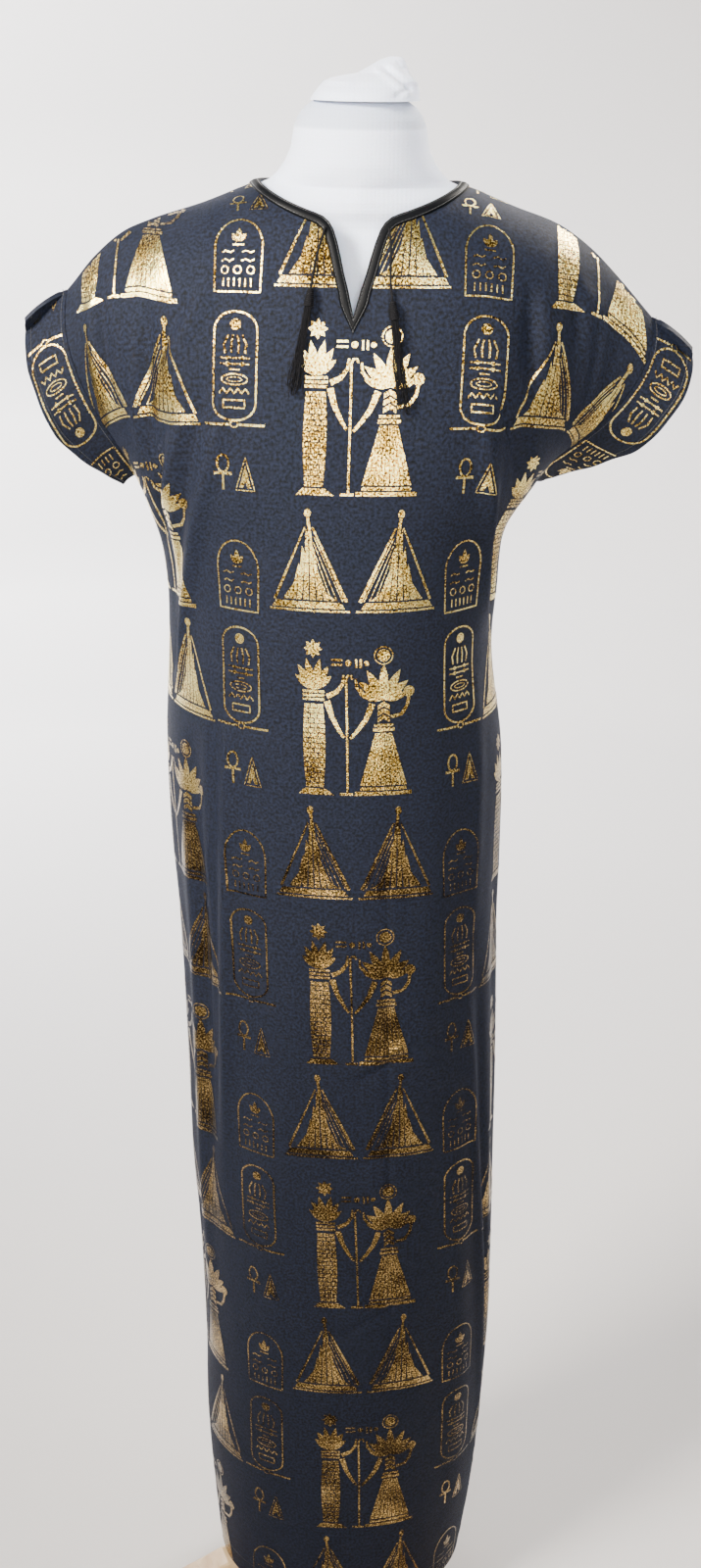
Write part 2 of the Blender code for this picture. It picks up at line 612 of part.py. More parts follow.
def make_stand(wood, steel):
    mesh = bmesh.new()
    low, high = HUB_HIGH + SEAM, TORSO[0][0] - SEAM
    bmesh.ops.create_cone(mesh, cap_ends=True, segments=POLE_SIDES, radius1=POLE_RADIUS, radius2=POLE_RADIUS,
                          depth=high - low)
    finish("stand_pole", mesh, steel).location = (0, STAND_BACK, (low + high) / 2)
    narrow = HUB_RADIUS - HUB_CHAMFER
    hub = ((HUB_LOW, narrow), (HUB_LOW + HUB_CHAMFER, HUB_RADIUS), (HUB_HIGH - HUB_CHAMFER, HUB_RADIUS),
           (HUB_HIGH, narrow))
    loft("stand_hub", [oval(z, r, r, r, POLE_SIDES) for z, r in hub], wood).location = (0, STAND_BACK, 0)
    for number, angle in enumerate(LEG_ANGLES, start=1):
        mesh = bmesh.new()
        verts = [mesh.verts.new((r, -LEG_WIDTH / 2, z)) for r, z in LEG_TOP + LEG_END + LEG_UNDER]
        side = mesh.faces.new(verts)
        grown = bmesh.ops.extrude_face_region(mesh, geom=[side])
        moved = [v for v in grown["geom"] if isinstance(v, bmesh.types.BMVert)]
        bmesh.ops.translate(mesh, verts=moved, vec=(0, LEG_WIDTH, 0))
        leg = finish(f"stand_leg_{number}", mesh, wood)
        leg.rotation_euler[2] = math.radians(angle)
        leg.location = (0, STAND_BACK, 0)
        rounded = leg.modifiers.new("edges", "BEVEL")
        rounded.width = LEG_EDGE
        rounded.segments = 2
        rounded.limit_method = "ANGLE"
        rounded.angle_limit = math.radians(60)


def make_tie(side_name, tie, thread):
    """Cord from the binding's corner and the tassel at its end, both lying just off the chest."""
    points = np.array(tie["cord"])
    share = np.concatenate([[0], np.cumsum(np.linalg.norm(np.diff(points, axis=0), axis=1))])
    at = np.linspace(0, share[-1], CORD_POINTS)
    rows = np.column_stack([share, points])
    u, v = curve_through(rows, 1, at), curve_through(rows, 2, at)
    place, _ = cloth("front", u, v, SEAM + BINDING + CORD_RADIUS + SEAM)
    curve = bpy.data.curves.new(f"tie_cord_{side_name}", "CURVE")
    curve.dimensions = "3D"
    curve.bevel_depth = CORD_RADIUS
    curve.bevel_resolution = 2
    curve.use_fill_caps = True
    line = curve.splines.new("POLY")
    line.points.add(CORD_POINTS - 1)
    for point, where in zip(line.points, place):
        point.co = (*where, 1.0)
    curve.materials.append(thread)
    cord = bpy.data.objects.new(f"tie_cord_{side_name}", curve)
    bpy.context.scene.collection.objects.link(cord)
    make_tassel(side_name, tie, place[-1], unit(place[-1] - place[-2]), thread)


def make_tassel(side_name, tie, start, way, thread):
    """Square bundle of strands grown out of the faces under a wrapped head."""
    top_u, top_v = tie["cord"][-1]
    foot_u, foot_v = tie["foot"]
    mesh = bmesh.new()
    bmesh.ops.create_grid(mesh, x_segments=TASSEL_ROWS, y_segments=TASSEL_ROWS, size=TASSEL_HALF)
    grown = bmesh.ops.extrude_face_region(mesh, geom=list(mesh.faces))
    upper = [v for v in grown["geom"] if isinstance(v, bmesh.types.BMVert)]
    bmesh.ops.translate(mesh, verts=upper, vec=(0, 0, TASSEL_HEAD))
    # axes of the head: its own way down, and two across
    _, out = cloth("front", np.array([top_u]), np.array([top_v]))
    forward = unit(out[0] - way * np.dot(out[0], way))
    aside = np.cross(way, forward)
    foot_of_head = start + way * (SEAM + TASSEL_HEAD) + forward * TASSEL_FORWARD
    for vert in mesh.verts:
        x, y, z = vert.co
        taper = 1.0 - TASSEL_NARROWS * (z / TASSEL_HEAD) ** 2
        vert.co = foot_of_head - way * z + aside * x * taper + forward * y * taper
    bmesh.ops.recalc_face_normals(mesh, faces=mesh.faces)
    near = 0.0005
    roots = [f for f in mesh.faces if f.normal.dot(tuple(way)) > 0.9
             and np.dot(np.array(f.calc_center_median()) - foot_of_head, way) > -near]
    bmesh.ops.inset_individual(mesh, faces=roots, thickness=TASSEL_HALF / TASSEL_ROWS - STRAND_HALF)
    length = float(np.hypot(foot_u - top_u, foot_v - top_v)) - TASSEL_HEAD
    for number, face in enumerate(roots):
        centre = np.array(face.calc_center_median()) - foot_of_head
        off_x, off_y = np.dot(centre, aside) / TASSEL_HALF, np.dot(centre, forward) / TASSEL_HALF
        # neighbours differ in length, by a sine that never falls into step with the rows
        reach = length * (1 - STRAND_UNEVEN + STRAND_UNEVEN * math.sin(2.4 * number + tie["phase"]))
        for step in range(1, STRAND_STEPS + 1):
            share = step / STRAND_STEPS
            face = bmesh.ops.extrude_discrete_faces(mesh, faces=[face])["faces"][0]
            spread = 1 + STRAND_SPREAD * share ** 1.3
            along = (TASSEL_HEAD + reach * share) / (TASSEL_HEAD + length)
            at_u = top_u + (foot_u - top_u) * along - (off_x * spread + 0.6 * off_y * share) * TASSEL_HALF
            at_v = top_v + (foot_v - top_v) * along
            lift = STRAND_LIFT + off_y * TASSEL_HALF + 0.0006 * (1 - share)
            target, _ = cloth("front", np.array([at_u]), np.array([at_v]), lift)
            shift = target[0] - np.array(face.calc_center_median())
            bmesh.ops.translate(mesh, verts=face.verts, vec=tuple(shift))
    bmesh.ops.triangulate(mesh, faces=mesh.faces)
    finish(f"tassel_{side_name}", mesh, thread, smooth=False)


def main():
    clear_scene()
    black = material("black_poplin", "14161C", 0.62)
    satin = material("black_satin_binding", "0C0D11", 0.42)
    thread = material("black_braid", "08080A", 0.70)
    knit = material("white_knit_cover", "E4E7EE", 0.85)
    wood = material("pale_pine", "D8B98A", 0.50)
    steel = material("grey_steel_pole", "9A9C9E", 0.35, 0.9)
    make_panels(black)
    make_band("sleeve_band_left", -1, (-0.70, 0.0, -0.71), (-0.45, 0.45, -0.77), black)
    make_band("sleeve_band_right", 1, (0.68, 0.0, -0.73), (0.80, 0.45, -0.10), black)
    make_binding(satin)
    make_tie("left", TIE_LEFT, thread)
    make_tie("right", TIE_RIGHT, thread)
    make_form(knit)
    make_stand(wood, steel)
    for item in bpy.data.objects:
        item.location -= Vector((ORIGIN_X, ORIGIN_Y, 0))


main()
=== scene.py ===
"""Looks of a long black jalabiya with gold print, worn by a limbless dress form on a wooden tripod."""
import math

import bmesh
import bpy
import numpy as np
from mathutils import Matrix, Vector
from mathutils.geometry import delaunay_2d_cdt


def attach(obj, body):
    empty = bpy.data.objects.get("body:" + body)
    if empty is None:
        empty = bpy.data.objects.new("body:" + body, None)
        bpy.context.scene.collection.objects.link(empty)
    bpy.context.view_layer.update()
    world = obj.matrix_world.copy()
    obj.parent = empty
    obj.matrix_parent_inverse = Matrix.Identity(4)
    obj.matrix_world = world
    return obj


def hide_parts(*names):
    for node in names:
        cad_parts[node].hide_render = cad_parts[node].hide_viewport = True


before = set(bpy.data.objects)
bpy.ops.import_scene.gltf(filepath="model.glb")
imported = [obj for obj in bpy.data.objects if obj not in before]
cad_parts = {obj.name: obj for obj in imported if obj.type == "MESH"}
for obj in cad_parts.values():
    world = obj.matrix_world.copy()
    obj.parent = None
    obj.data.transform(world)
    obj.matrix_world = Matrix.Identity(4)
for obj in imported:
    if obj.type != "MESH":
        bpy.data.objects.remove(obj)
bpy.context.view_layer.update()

# The camera stands in front of the form at its head's height and looks down along it,
# turned a little, as a hand-held one. Its sizes are those of the photograph's view.
PHOTO_HIGH = 1600
FOCAL_PIXELS = 2050
CAMERA_DOWN = math.radians(21)
CAMERA_ROLL = math.radians(0.85)
# sizes below are measured from the middle of the form; the frame's origin lies here from it
ORIGIN = np.array([0.003, 0.057, 0.0])
camera = bpy.data.objects.new("camera", bpy.data.cameras.new("camera"))
bpy.context.scene.collection.objects.link(camera)
camera.data.sensor_fit = "VERTICAL"
camera.data.sensor_height = 24
camera.data.lens = 24 * FOCAL_PIXELS / PHOTO_HIGH
camera.location = Vector((0, -1.677, 1.53)) - Vector(ORIGIN)
camera.rotation_euler = (Matrix.Rotation(math.radians(90) - CAMERA_DOWN, 4, "X")
                         @ Matrix.Rotation(CAMERA_ROLL, 4, "Z")).to_euler()
bpy.context.scene.camera = camera

# How the cloth hangs. The garment is cut flat: u runs across from the centre line and v runs up.
# The lower cloth is a stack of level loops, the upper cloth swings over the shoulders and falls to them.
HALF_WIDTH = 0.250
HEM = 0.050
UNDERARM = 1.150
NECK_HALF = 0.080
NECK_POINT = 1.407
SHOULDER_FALL = math.tan(math.radians(20))
NECK_RISE = 0.012
FRONT_NECK_DROP = 0.065
BACK_NECK_DROP = 0.047
SLIT_HALF = 0.033
# Edge of the slit, from its foot up: distance from the centre line, height on the cut
SLIT = ((0.0000, 1.2810), (0.0050, 1.2970), (0.0085, 1.3065), (0.0115, 1.3165), (0.0145, 1.3260),
        (0.0180, 1.3350), (0.0215, 1.3405), (0.0265, 1.3448))
# Columns: height, left, right, front, back, left_widest, right_widest, back_fold, centre_shift
SECTIONS = (
    (0.050, 0.123, 0.124, 0.102, 0.112, 0.015, 0.010, 0.024, 0.019),
    (0.110, 0.129, 0.132, 0.103, 0.113, 0.018, 0.010, 0.024, 0.019),
    (0.190, 0.135, 0.139, 0.104, 0.113, 0.020, 0.010, 0.023, 0.018),
    (0.300, 0.137, 0.144, 0.105, 0.113, 0.024, 0.010, 0.022, 0.016),
    (0.400, 0.141, 0.145, 0.105, 0.113, 0.028, 0.010, 0.021, 0.014),
    (0.500, 0.148, 0.143, 0.105, 0.113, 0.032, 0.010, 0.019, 0.010),
    (0.600, 0.151, 0.141, 0.105, 0.113, 0.036, 0.010, 0.017, 0.007),
    (0.700, 0.155, 0.138, 0.105, 0.112, 0.040, 0.010, 0.015, 0.004),
    (0.760, 0.158, 0.136, 0.105, 0.111, 0.042, 0.010, 0.014, 0.002),
    (0.820, 0.163, 0.136, 0.105, 0.110, 0.043, 0.010, 0.014, 0.000),
    (0.930, 0.166, 0.133, 0.106, 0.107, 0.042, 0.010, 0.013, -0.003),
    (1.025, 0.162, 0.121, 0.109, 0.104, 0.038, 0.010, 0.011, -0.005),
    (1.075, 0.163, 0.124, 0.111, 0.102, 0.034, 0.010, 0.009, -0.006),
    (1.100, 0.166, 0.125, 0.112, 0.101, 0.030, 0.010, 0.008, -0.006),
    (1.117, 0.170, 0.127, 0.112, 0.100, 0.026, 0.010, 0.006, -0.006),
    (1.135, 0.176, 0.134, 0.112, 0.099, 0.022, 0.010, 0.005, -0.006),
    (1.150, 0.181, 0.144, 0.112, 0.098, 0.018, 0.010, 0.004, -0.006),
)
BACK_FOLDS = 5
# shares of half a turn at which the back's folds begin, and over which they grow
BACK_FROM, BACK_GROWS = 0.58, 0.16
ROUNDNESS = 2.1
# Fold line over the shoulders. Columns: u, left_x, left_z, right_x, right_z
RIDGE = (
    (0.000, 0.000, 1.4200, 0.000, 1.4200),
    (0.040, 0.040, 1.4160, 0.040, 1.4160),
    (0.080, 0.080, 1.4040, 0.080, 1.4040),
    (0.125, 0.125, 1.3865, 0.124, 1.3870),
    (0.170, 0.169, 1.3720, 0.168, 1.3695),
    (0.190, 0.188, 1.3640, 0.187, 1.3560),
    (0.222, 0.215, 1.3420, 0.215, 1.3290),
    (0.250, 0.237, 1.3160, 0.241, 1.3010),
    (0.293, 0.270, 1.2880, 0.277, 1.2660),
)
# How the cloth leaves the fold line. Columns: u, outward, across, downward, swing
LEAVE = (
    (0.000, 0.00, 1.00, 0.00, 0.310),
    (0.080, 0.00, 1.00, 0.00, 0.310),
    (0.150, 0.02, 0.98, 0.15, 0.265),
    (0.190, 0.08, 0.84, 0.55, 0.240),
    (0.250, 0.12, 0.66, 0.75, 0.235),
)
HANG = 0.24
JUST_BELOW = 0.004
ARMHOLE_SPREAD = 0.60
ARMHOLE_START = 0.185
# Largest folds of the front. Columns: top_u, top_v, bottom_u, bottom_v, half_width, height
FOLDS = (
    (-0.132, 1.300, -0.178, 1.000, 0.016, 0.0045),
    (-0.158, 1.310, -0.200, 0.990, 0.016, -0.0060),
    (0.112, 1.300, 0.140, 1.040, 0.016, 0.0040),
    (0.140, 1.300, 0.165, 1.030, 0.016, -0.0055),
    (-0.128, 0.960, -0.135, 0.480, 0.013, 0.0040),
    (-0.150, 0.960, -0.157, 0.480, 0.013, -0.0075),
    (0.098, 0.640, 0.110, 0.120, 0.016, 0.0035),
    (-0.205, 1.330, -0.222, 1.215, 0.014, 0.0050),
    (0.192, 1.330, 0.218, 1.225, 0.014, 0.0045),
)
# Smaller creases that the cloth has besides, by side. The same columns
CREASES = {
    "front": (
        (-0.106, 1.365, -0.108, 1.250, 0.0060, -0.0018),
        (-0.095, 1.250, -0.185, 0.975, 0.0085, 0.0046),
        (-0.113, 1.250, -0.199, 0.985, 0.0080, -0.0052),
        (-0.136, 1.225, -0.190, 1.105, 0.0065, 0.0038),
        (-0.148, 1.230, -0.204, 1.100, 0.0070, -0.0040),
        (-0.128, 1.300, -0.162, 1.250, 0.0060, -0.0042),
        (-0.118, 1.300, -0.150, 1.245, 0.0070, 0.0026),
        (-0.167, 1.295, -0.178, 1.185, 0.0055, -0.0046),
        (-0.178, 1.300, -0.190, 1.190, 0.0070, 0.0032),
        (-0.207, 1.335, -0.210, 1.235, 0.0060, -0.0044),
        (-0.220, 1.325, -0.228, 1.235, 0.0070, 0.0030),
        (0.103, 1.240, 0.152, 1.045, 0.0075, 0.0042),
        (0.120, 1.235, 0.168, 1.050, 0.0075, -0.0050),
        (0.110, 1.245, 0.153, 1.183, 0.0050, -0.0036),
        (0.128, 1.262, 0.170, 1.195, 0.0055, 0.0032),
        (0.137, 1.310, 0.148, 1.230, 0.0055, -0.0042),
        (0.150, 1.310, 0.162, 1.235, 0.0065, 0.0028),
        (0.171, 1.335, 0.184, 1.270, 0.0060, -0.0040),
        (0.196, 1.320, 0.214, 1.230, 0.0065, -0.0036),
        (-0.107, 0.975, -0.128, 0.545, 0.0065, 0.0040),
        (-0.121, 0.975, -0.142, 0.545, 0.0065, -0.0054),
        (-0.168, 0.900, -0.172, 0.300, 0.0100, 0.0040),
        (-0.195, 0.900, -0.205, 0.250, 0.0140, -0.0030),
        (0.112, 0.745, 0.156, 0.190, 0.0075, 0.0042),
        (0.128, 0.740, 0.170, 0.200, 0.0080, -0.0052),
        (0.128, 1.020, 0.122, 0.770, 0.0100, 0.0030),
        (0.160, 0.900, 0.184, 0.350, 0.0120, -0.0030),
        (0.034, 0.940, 0.030, 0.170, 0.0035, -0.0013),
        (0.075, 0.930, 0.060, 0.520, 0.0180, 0.0018),
        (-0.060, 0.800, -0.085, 0.330, 0.0200, 0.0020),
        (0.060, 0.676, -0.014, 0.632, 0.0080, -0.0018),
        (0.062, 0.686, -0.010, 0.644, 0.0100, 0.0016),
        (0.046, 0.412, -0.020, 0.370, 0.0080, -0.0018),
        (0.050, 0.420, -0.012, 0.382, 0.0100, 0.0014),
        (-0.030, 0.340, 0.040, 0.300, 0.0080, -0.0012),
    ),
    "back": (
        (-0.110, 1.330, -0.060, 1.080, 0.0120, 0.0036),
        (0.120, 1.320, 0.070, 1.060, 0.0120, 0.0036),
        (-0.170, 1.310, -0.120, 1.120, 0.0100, -0.0038),
        (0.175, 1.300, 0.125, 1.110, 0.0100, -0.0038),
        (0.010, 1.180, -0.020, 0.900, 0.0140, 0.0028),
        (0.215, 1.300, 0.200, 1.180, 0.0080, 0.0034),
        (-0.215, 1.300, -0.200, 1.180, 0.0080, 0.0034),
        (0.000, 0.860, 0.018, 0.180, 0.0140, 0.0034),
        (-0.120, 0.980, -0.135, 0.420, 0.0090, 0.0044),
        (-0.137, 0.980, -0.152, 0.420, 0.0080, -0.0046),
        (0.118, 0.900, 0.140, 0.260, 0.0090, 0.0044),
        (0.135, 0.900, 0.157, 0.260, 0.0080, -0.0046),
    ),
}
RING_STEPS = 720
TURN = np.linspace(-math.pi, math.pi, RING_STEPS + 1)


def curve_through(table, column, at):
    """Reads one column of a table at any place, on a smooth curve through its rows."""
    x = np.array([row[0] for row in table])
    y = np.array([row[column] for row in table])
    slope = np.gradient(y, x)
    at = np.clip(np.asarray(at, float), x[0], x[-1])
    i = np.clip(np.searchsorted(x, at, side="right") - 1, 0, len(x) - 2)
    step = x[i + 1] - x[i]
    t = (at - x[i]) / step
    return ((1 + 2 * t) * (1 - t) ** 2 * y[i] + t * (1 - t) ** 2 * step * slope[i]
            + t * t * (3 - 2 * t) * y[i + 1] + t * t * (t - 1) * step * slope[i + 1])


def smooth_path(stations, places, at):
    """Places on a smooth curve through others, given where those lie along it."""
    table = np.column_stack([stations, places])
    return np.stack([curve_through(table, column, at) for column in range(1, table.shape[1])], axis=1)


def lengths_along(places, axis=0):
    """Length along lines of places to each of them, from the first."""
    steps = np.linalg.norm(np.diff(places, axis=axis), axis=-1)
    return np.concatenate([0 * np.take(steps, [0], axis), np.cumsum(steps, axis)], axis)


def ease(t):
    """Rises smoothly from 0 to 1, and stays at either beyond them."""
    t = np.clip(t, 0.0, 1.0)
    return t * t * (3 - 2 * t)


def unit(rows):
    """Vectors made one metre long."""
    return rows / np.linalg.norm(rows, axis=-1, keepdims=True)


def shoulder_line(u):
    """Height of the shoulder seam on the cut, carried on over the neck."""
    s = np.abs(u)
    over_neck = NECK_POINT + NECK_RISE * (1 - np.minimum(s / NECK_HALF, 1.0) ** 2)
    return np.where(s < NECK_HALF, over_neck, NECK_POINT - (s - NECK_HALF) * SHOULDER_FALL)


def neck_edge(u, drop):
    """Height of a round neckline on the cut."""
    s = np.minimum(np.abs(u) / NECK_HALF, 1.0)
    return NECK_POINT - drop * np.sqrt(1 - s * s)


def front_top(u):
    """Upper edge of the front on the cut: slit, neckline and shoulder."""
    s = np.abs(u)
    corner = SLIT + ((SLIT_HALF, float(neck_edge(SLIT_HALF, FRONT_NECK_DROP))),)
    slit = np.interp(s, [row[0] for row in corner], [row[1] for row in corner])
    beside = np.where(s < NECK_HALF, neck_edge(u, FRONT_NECK_DROP), shoulder_line(u))
    return np.where(s < SLIT_HALF, slit, beside)


def back_top(u):
    """Upper edge of the back on the cut."""
    return np.where(np.abs(u) < NECK_HALF, neck_edge(u, BACK_NECK_DROP), shoulder_line(u))


def section_loop(height):
    """Level loop of the hanging cloth, with the length along it from the middle of the front."""
    left, right, front, back, left_y, right_y, fold = (
        float(curve_through(SECTIONS, column, height)) for column in range(1, 8))
    power = 2 / ROUNDNESS
    sine, cosine = np.sin(TURN), np.cos(TURN)
    ahead = np.sign(cosine) * np.abs(cosine) ** power
    aside = np.sign(sine) * np.abs(sine) ** power
    widest = np.where(TURN > 0, right_y, left_y)
    x = aside * np.where(TURN > 0, right, left)
    y = np.where(cosine > 0, widest - (widest + front) * ahead, widest - (back - widest) * ahead)
    behind = ease((np.abs(TURN) - BACK_FROM * math.pi) / (BACK_GROWS * math.pi))
    wave = 0.5 - 0.5 * np.cos(2 * math.pi * BACK_FOLDS * (np.abs(TURN) - math.pi) / math.pi)
    along = unit(np.stack([np.gradient(x), np.gradient(y)], axis=1))
    inward = np.stack([-along[:, 1], along[:, 0]], axis=1)
    points = np.stack([x, y], axis=1) + inward * (fold * behind * wave)[:, None]
    length = lengths_along(points)
    return points, length - length[RING_STEPS // 2]


def lower_row(side, u, height):
    """Places across one side at a level. The back takes the girth that the front leaves."""
    points, length = section_loop(height)
    shift = float(curve_through(SECTIONS, 8, height))
    whole = length[-1] - length[0]
    behind = shift + HALF_WIDTH + (HALF_WIDTH - u) * (whole - 2 * HALF_WIDTH) / (2 * HALF_WIDTH)
    at = shift + u if side == "front" else behind
    at = np.where(at > length[-1], at - whole, at)
    x, y = np.interp(at, length, points[:, 0]), np.interp(at, length, points[:, 1])
    return np.stack([x, y, np.full_like(x, height)], axis=-1)


def ridge(u):
    """Places along the fold line over the shoulders."""
    s = np.abs(u)
    left = np.stack([-curve_through(RIDGE, 1, s), np.zeros_like(s), curve_through(RIDGE, 2, s)], axis=-1)
    right = np.stack([curve_through(RIDGE, 3, s), np.zeros_like(s), curve_through(RIDGE, 4, s)], axis=-1)
    return np.where((u < 0)[..., None], left, right)


def upper_points(side, u, share):
    """Rows between the underarm, share 0, and the fold line over the shoulders, share 1."""
    s = np.abs(u)
    facing = -1.0 if side == "front" else 1.0
    length = shoulder_line(u) - UNDERARM
    t = 1 - share[:, None, None]
    start = ridge(u)
    end = lower_row(side, u, UNDERARM)
    fall = unit(lower_row(side, u, UNDERARM - JUST_BELOW) - end)
    fall[:, 1] -= facing * ARMHOLE_SPREAD * ease((s - ARMHOLE_START) / (HALF_WIDTH - ARMHOLE_START))
    fall = unit(fall)
    leave = unit(np.stack([np.where(u < 0, -1.0, 1.0) * curve_through(LEAVE, 1, s),
                           facing * curve_through(LEAVE, 2, s), -curve_through(LEAVE, 3, s)], axis=-1))
    swing = curve_through(LEAVE, 4, s)[:, None]
    hang = (HANG * length / float(shoulder_line(0.0) - UNDERARM))[:, None]
    return ((1 + 2 * t) * (1 - t) ** 2 * start + t * (1 - t) ** 2 * swing * leave
            + t * t * (3 - 2 * t) * end + t * t * (t - 1) * hang * fall)


def fold_height(side, u, v):
    """How far folds and creases lift the cloth."""
    folds = CREASES[side] + (FOLDS if side == "front" else ())
    lift = np.zeros_like(u)
    for top_u, top_v, bottom_u, bottom_v, half_width, height in folds:
        along = np.clip((top_v - v) / (top_v - bottom_v), 0, 1)
        middle = top_u + (bottom_u - top_u) * along
        lift += height * np.sin(math.pi * along) ** 0.7 * np.exp(-((u - middle) / half_width) ** 2)
    return lift


GRID_U = np.linspace(-HALF_WIDTH, HALF_WIDTH, 251)
LOWER_V = np.linspace(HEM, UNDERARM, 455)
UPPER_SHARE = np.linspace(0, 1, 101)


def hang_side(side):
    """Places and normals of one side of the hung cloth, on a fine grid of the cut."""
    u = GRID_U
    lower = np.stack([lower_row(side, u, height) for height in LOWER_V[:-1]])
    places = np.concatenate([lower, upper_points(side, u, UPPER_SHARE)])
    upper_v = UNDERARM + (shoulder_line(u) - UNDERARM) * UPPER_SHARE[:, None]
    v = np.concatenate([np.repeat(LOWER_V[:-1, None], len(u), axis=1), upper_v])

    def normals(of):
        """Outward ways of a grid of places."""
        facing = -1 if side == "back" else 1
        return unit(np.cross(np.gradient(of, axis=1), np.gradient(of, axis=0))) * facing

    lift = fold_height(side, np.repeat(u[None, :], len(v), axis=0), v)
    places = places + normals(places) * lift[..., None]
    return places, normals(places)


hung = {side: hang_side(side) for side in ("front", "back")}


def on_grid(grid, row, column):
    """Reads a grid of places or normals between its rows and columns."""
    i = np.clip(row.astype(int), 0, grid.shape[0] - 2)
    j = np.clip(column.astype(int), 0, grid.shape[1] - 2)
    a, b = (row - i)[..., None], (column - j)[..., None]
    return ((1 - a) * ((1 - b) * grid[i, j] + b * grid[i, j + 1])
            + a * ((1 - b) * grid[i + 1, j] + b * grid[i + 1, j + 1]))


def cloth(side, u, v, above=0.0):
    """Places on the hung cloth's outer face, or above it, with the normals there."""
    u, v = np.broadcast_arrays(np.asarray(u, float), np.asarray(v, float))
    below = (v - HEM) / (UNDERARM - HEM) * (len(LOWER_V) - 1)
    share = np.clip((v - UNDERARM) / (shoulder_line(u) - UNDERARM), 0, 1)
    row = np.where(v < UNDERARM, below, len(LOWER_V) - 1 + share * (len(UPPER_SHARE) - 1))
    column = (u + HALF_WIDTH) / (2 * HALF_WIDTH) * (len(GRID_U) - 1)
    places, normals = hung[side]
    normal = unit(on_grid(normals, row, column))
    return on_grid(places, row, column) + normal * np.asarray(above)[..., None], normal


def linear(hex_colour):
    """An sRGB hex colour as linear values."""
    channels = [int(hex_colour[i:i + 2], 16) / 255 for i in (1, 3, 5)]
    return tuple(c / 12.92 if c <= 0.04045 else ((c + 0.055) / 1.055) ** 2.4 for c in channels) + (1.0,)


def node(tree, kind, settings=None, sockets=None, links=None):
    """Adds a node, with its settings, the values of its sockets, and the sockets linked to it."""
    made = tree.nodes.new(kind)
    for name, value in (settings or {}).items():
        setattr(made, name, value)
    for name, value in (sockets or {}).items():
        made.inputs[name].default_value = value
    for name, source in (links or {}).items():
        tree.links.new(source, made.inputs[name])
    return made


def noise(tree, vector, scale, detail, **more):
    """The strength of a noise texture over a surface."""
    sockets = {"Scale": scale, "Detail": detail, **more}
    return node(tree, "ShaderNodeTexNoise", None, sockets, {"Vector": vector}).outputs["Fac"]


def waves(tree, vector, axis, scale, distortion, detail):
    """The strength of straight waves that follow each other along an axis."""
    sockets = {"Scale": scale, "Distortion": distortion, "Detail": detail}
    made = node(tree, "ShaderNodeTexWave", {"bands_direction": axis}, sockets, {"Vector": vector})
    return made.outputs["Fac"]


def bump(tree, height, strength, distance, under=None):
    """A normal bent by a height, over another normal."""
    links = {"Height": height} if under is None else {"Height": height, "Normal": under}
    made = node(tree, "ShaderNodeBump", None, {"Strength": strength, "Distance": distance}, links)
    return made.outputs["Normal"]


def scaled(tree, value, start, end, low=0.0, high=1.0, smooth=False):
    """A value moved from one range to another."""
    sockets = {"From Min": start, "From Max": end, "To Min": low, "To Max": high}
    settings = {"interpolation_type": "SMOOTHSTEP"} if smooth else None
    return node(tree, "ShaderNodeMapRange", settings, sockets, {"Value": value}).outputs["Result"]


def combined(tree, operation, first, second):
    """Two values added, multiplied or compared."""
    made = node(tree, "ShaderNodeMath", {"operation": operation}, None, {0: first, 1: second})
    return made.outputs["Value"]


def two_tones(tree, value, low, high, low_at=0.0, high_at=1.0):
    """A colour between two, as a value goes from one place to the other."""
    shade = node(tree, "ShaderNodeValToRGB", None, None, {"Fac": value})
    for element, place, tone in zip(shade.color_ramp.elements, (low_at, high_at), (low, high)):
        element.position = place
        element.color = linear(tone)
    return shade.outputs["Color"]


def new_material(name, **sockets):
    """An empty Principled material, with the sockets that are the same all over it."""
    made = bpy.data.materials.new(name)
    made.use_nodes = True
    shader = made.node_tree.nodes["Principled BSDF"]
    for socket, value in sockets.items():
        value = linear(value) if isinstance(value, str) else value
        shader.inputs[socket.replace("_", " ")].default_value = value
    return made, made.node_tree, shader


def drive(tree, shader, **sources):
    """Links a Principled shader's sockets to what drives them."""
    for socket, source in sources.items():
        tree.links.new(source, shader.inputs[socket.replace("_", " ")])


def make_mesh(name, points, faces, look, uv=None):
    """A smooth mesh whose points are measured from the middle of the form."""
    mesh = bpy.data.meshes.new(name)
    mesh.from_pydata((np.asarray(points).reshape(-1, 3) - ORIGIN).tolist(), [], faces)
    mesh.materials.append(look)
    mesh.shade_smooth()
    if uv is not None:
        corner = np.empty(len(mesh.loops), int)
        mesh.loops.foreach_get("vertex_index", corner)
        mesh.uv_layers.new(name="cut").data.foreach_set("uv", np.asarray(uv).reshape(-1, 2)[corner].ravel())
    item = bpy.data.objects.new(name, mesh)
    bpy.context.scene.collection.objects.link(item)
    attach(item, "root")
    return item


def finish_solid(item, sharp_from):
    """Turns a closed mesh's faces outwards and keeps edges crisp from an angle in degrees."""
    solid = bmesh.new()
    solid.from_mesh(item.data)
    bmesh.ops.recalc_face_normals(solid, faces=solid.faces)
    solid.to_mesh(item.data)
    solid.free()
    item.data.set_sharp_from_angle(angle=math.radians(sharp_from))


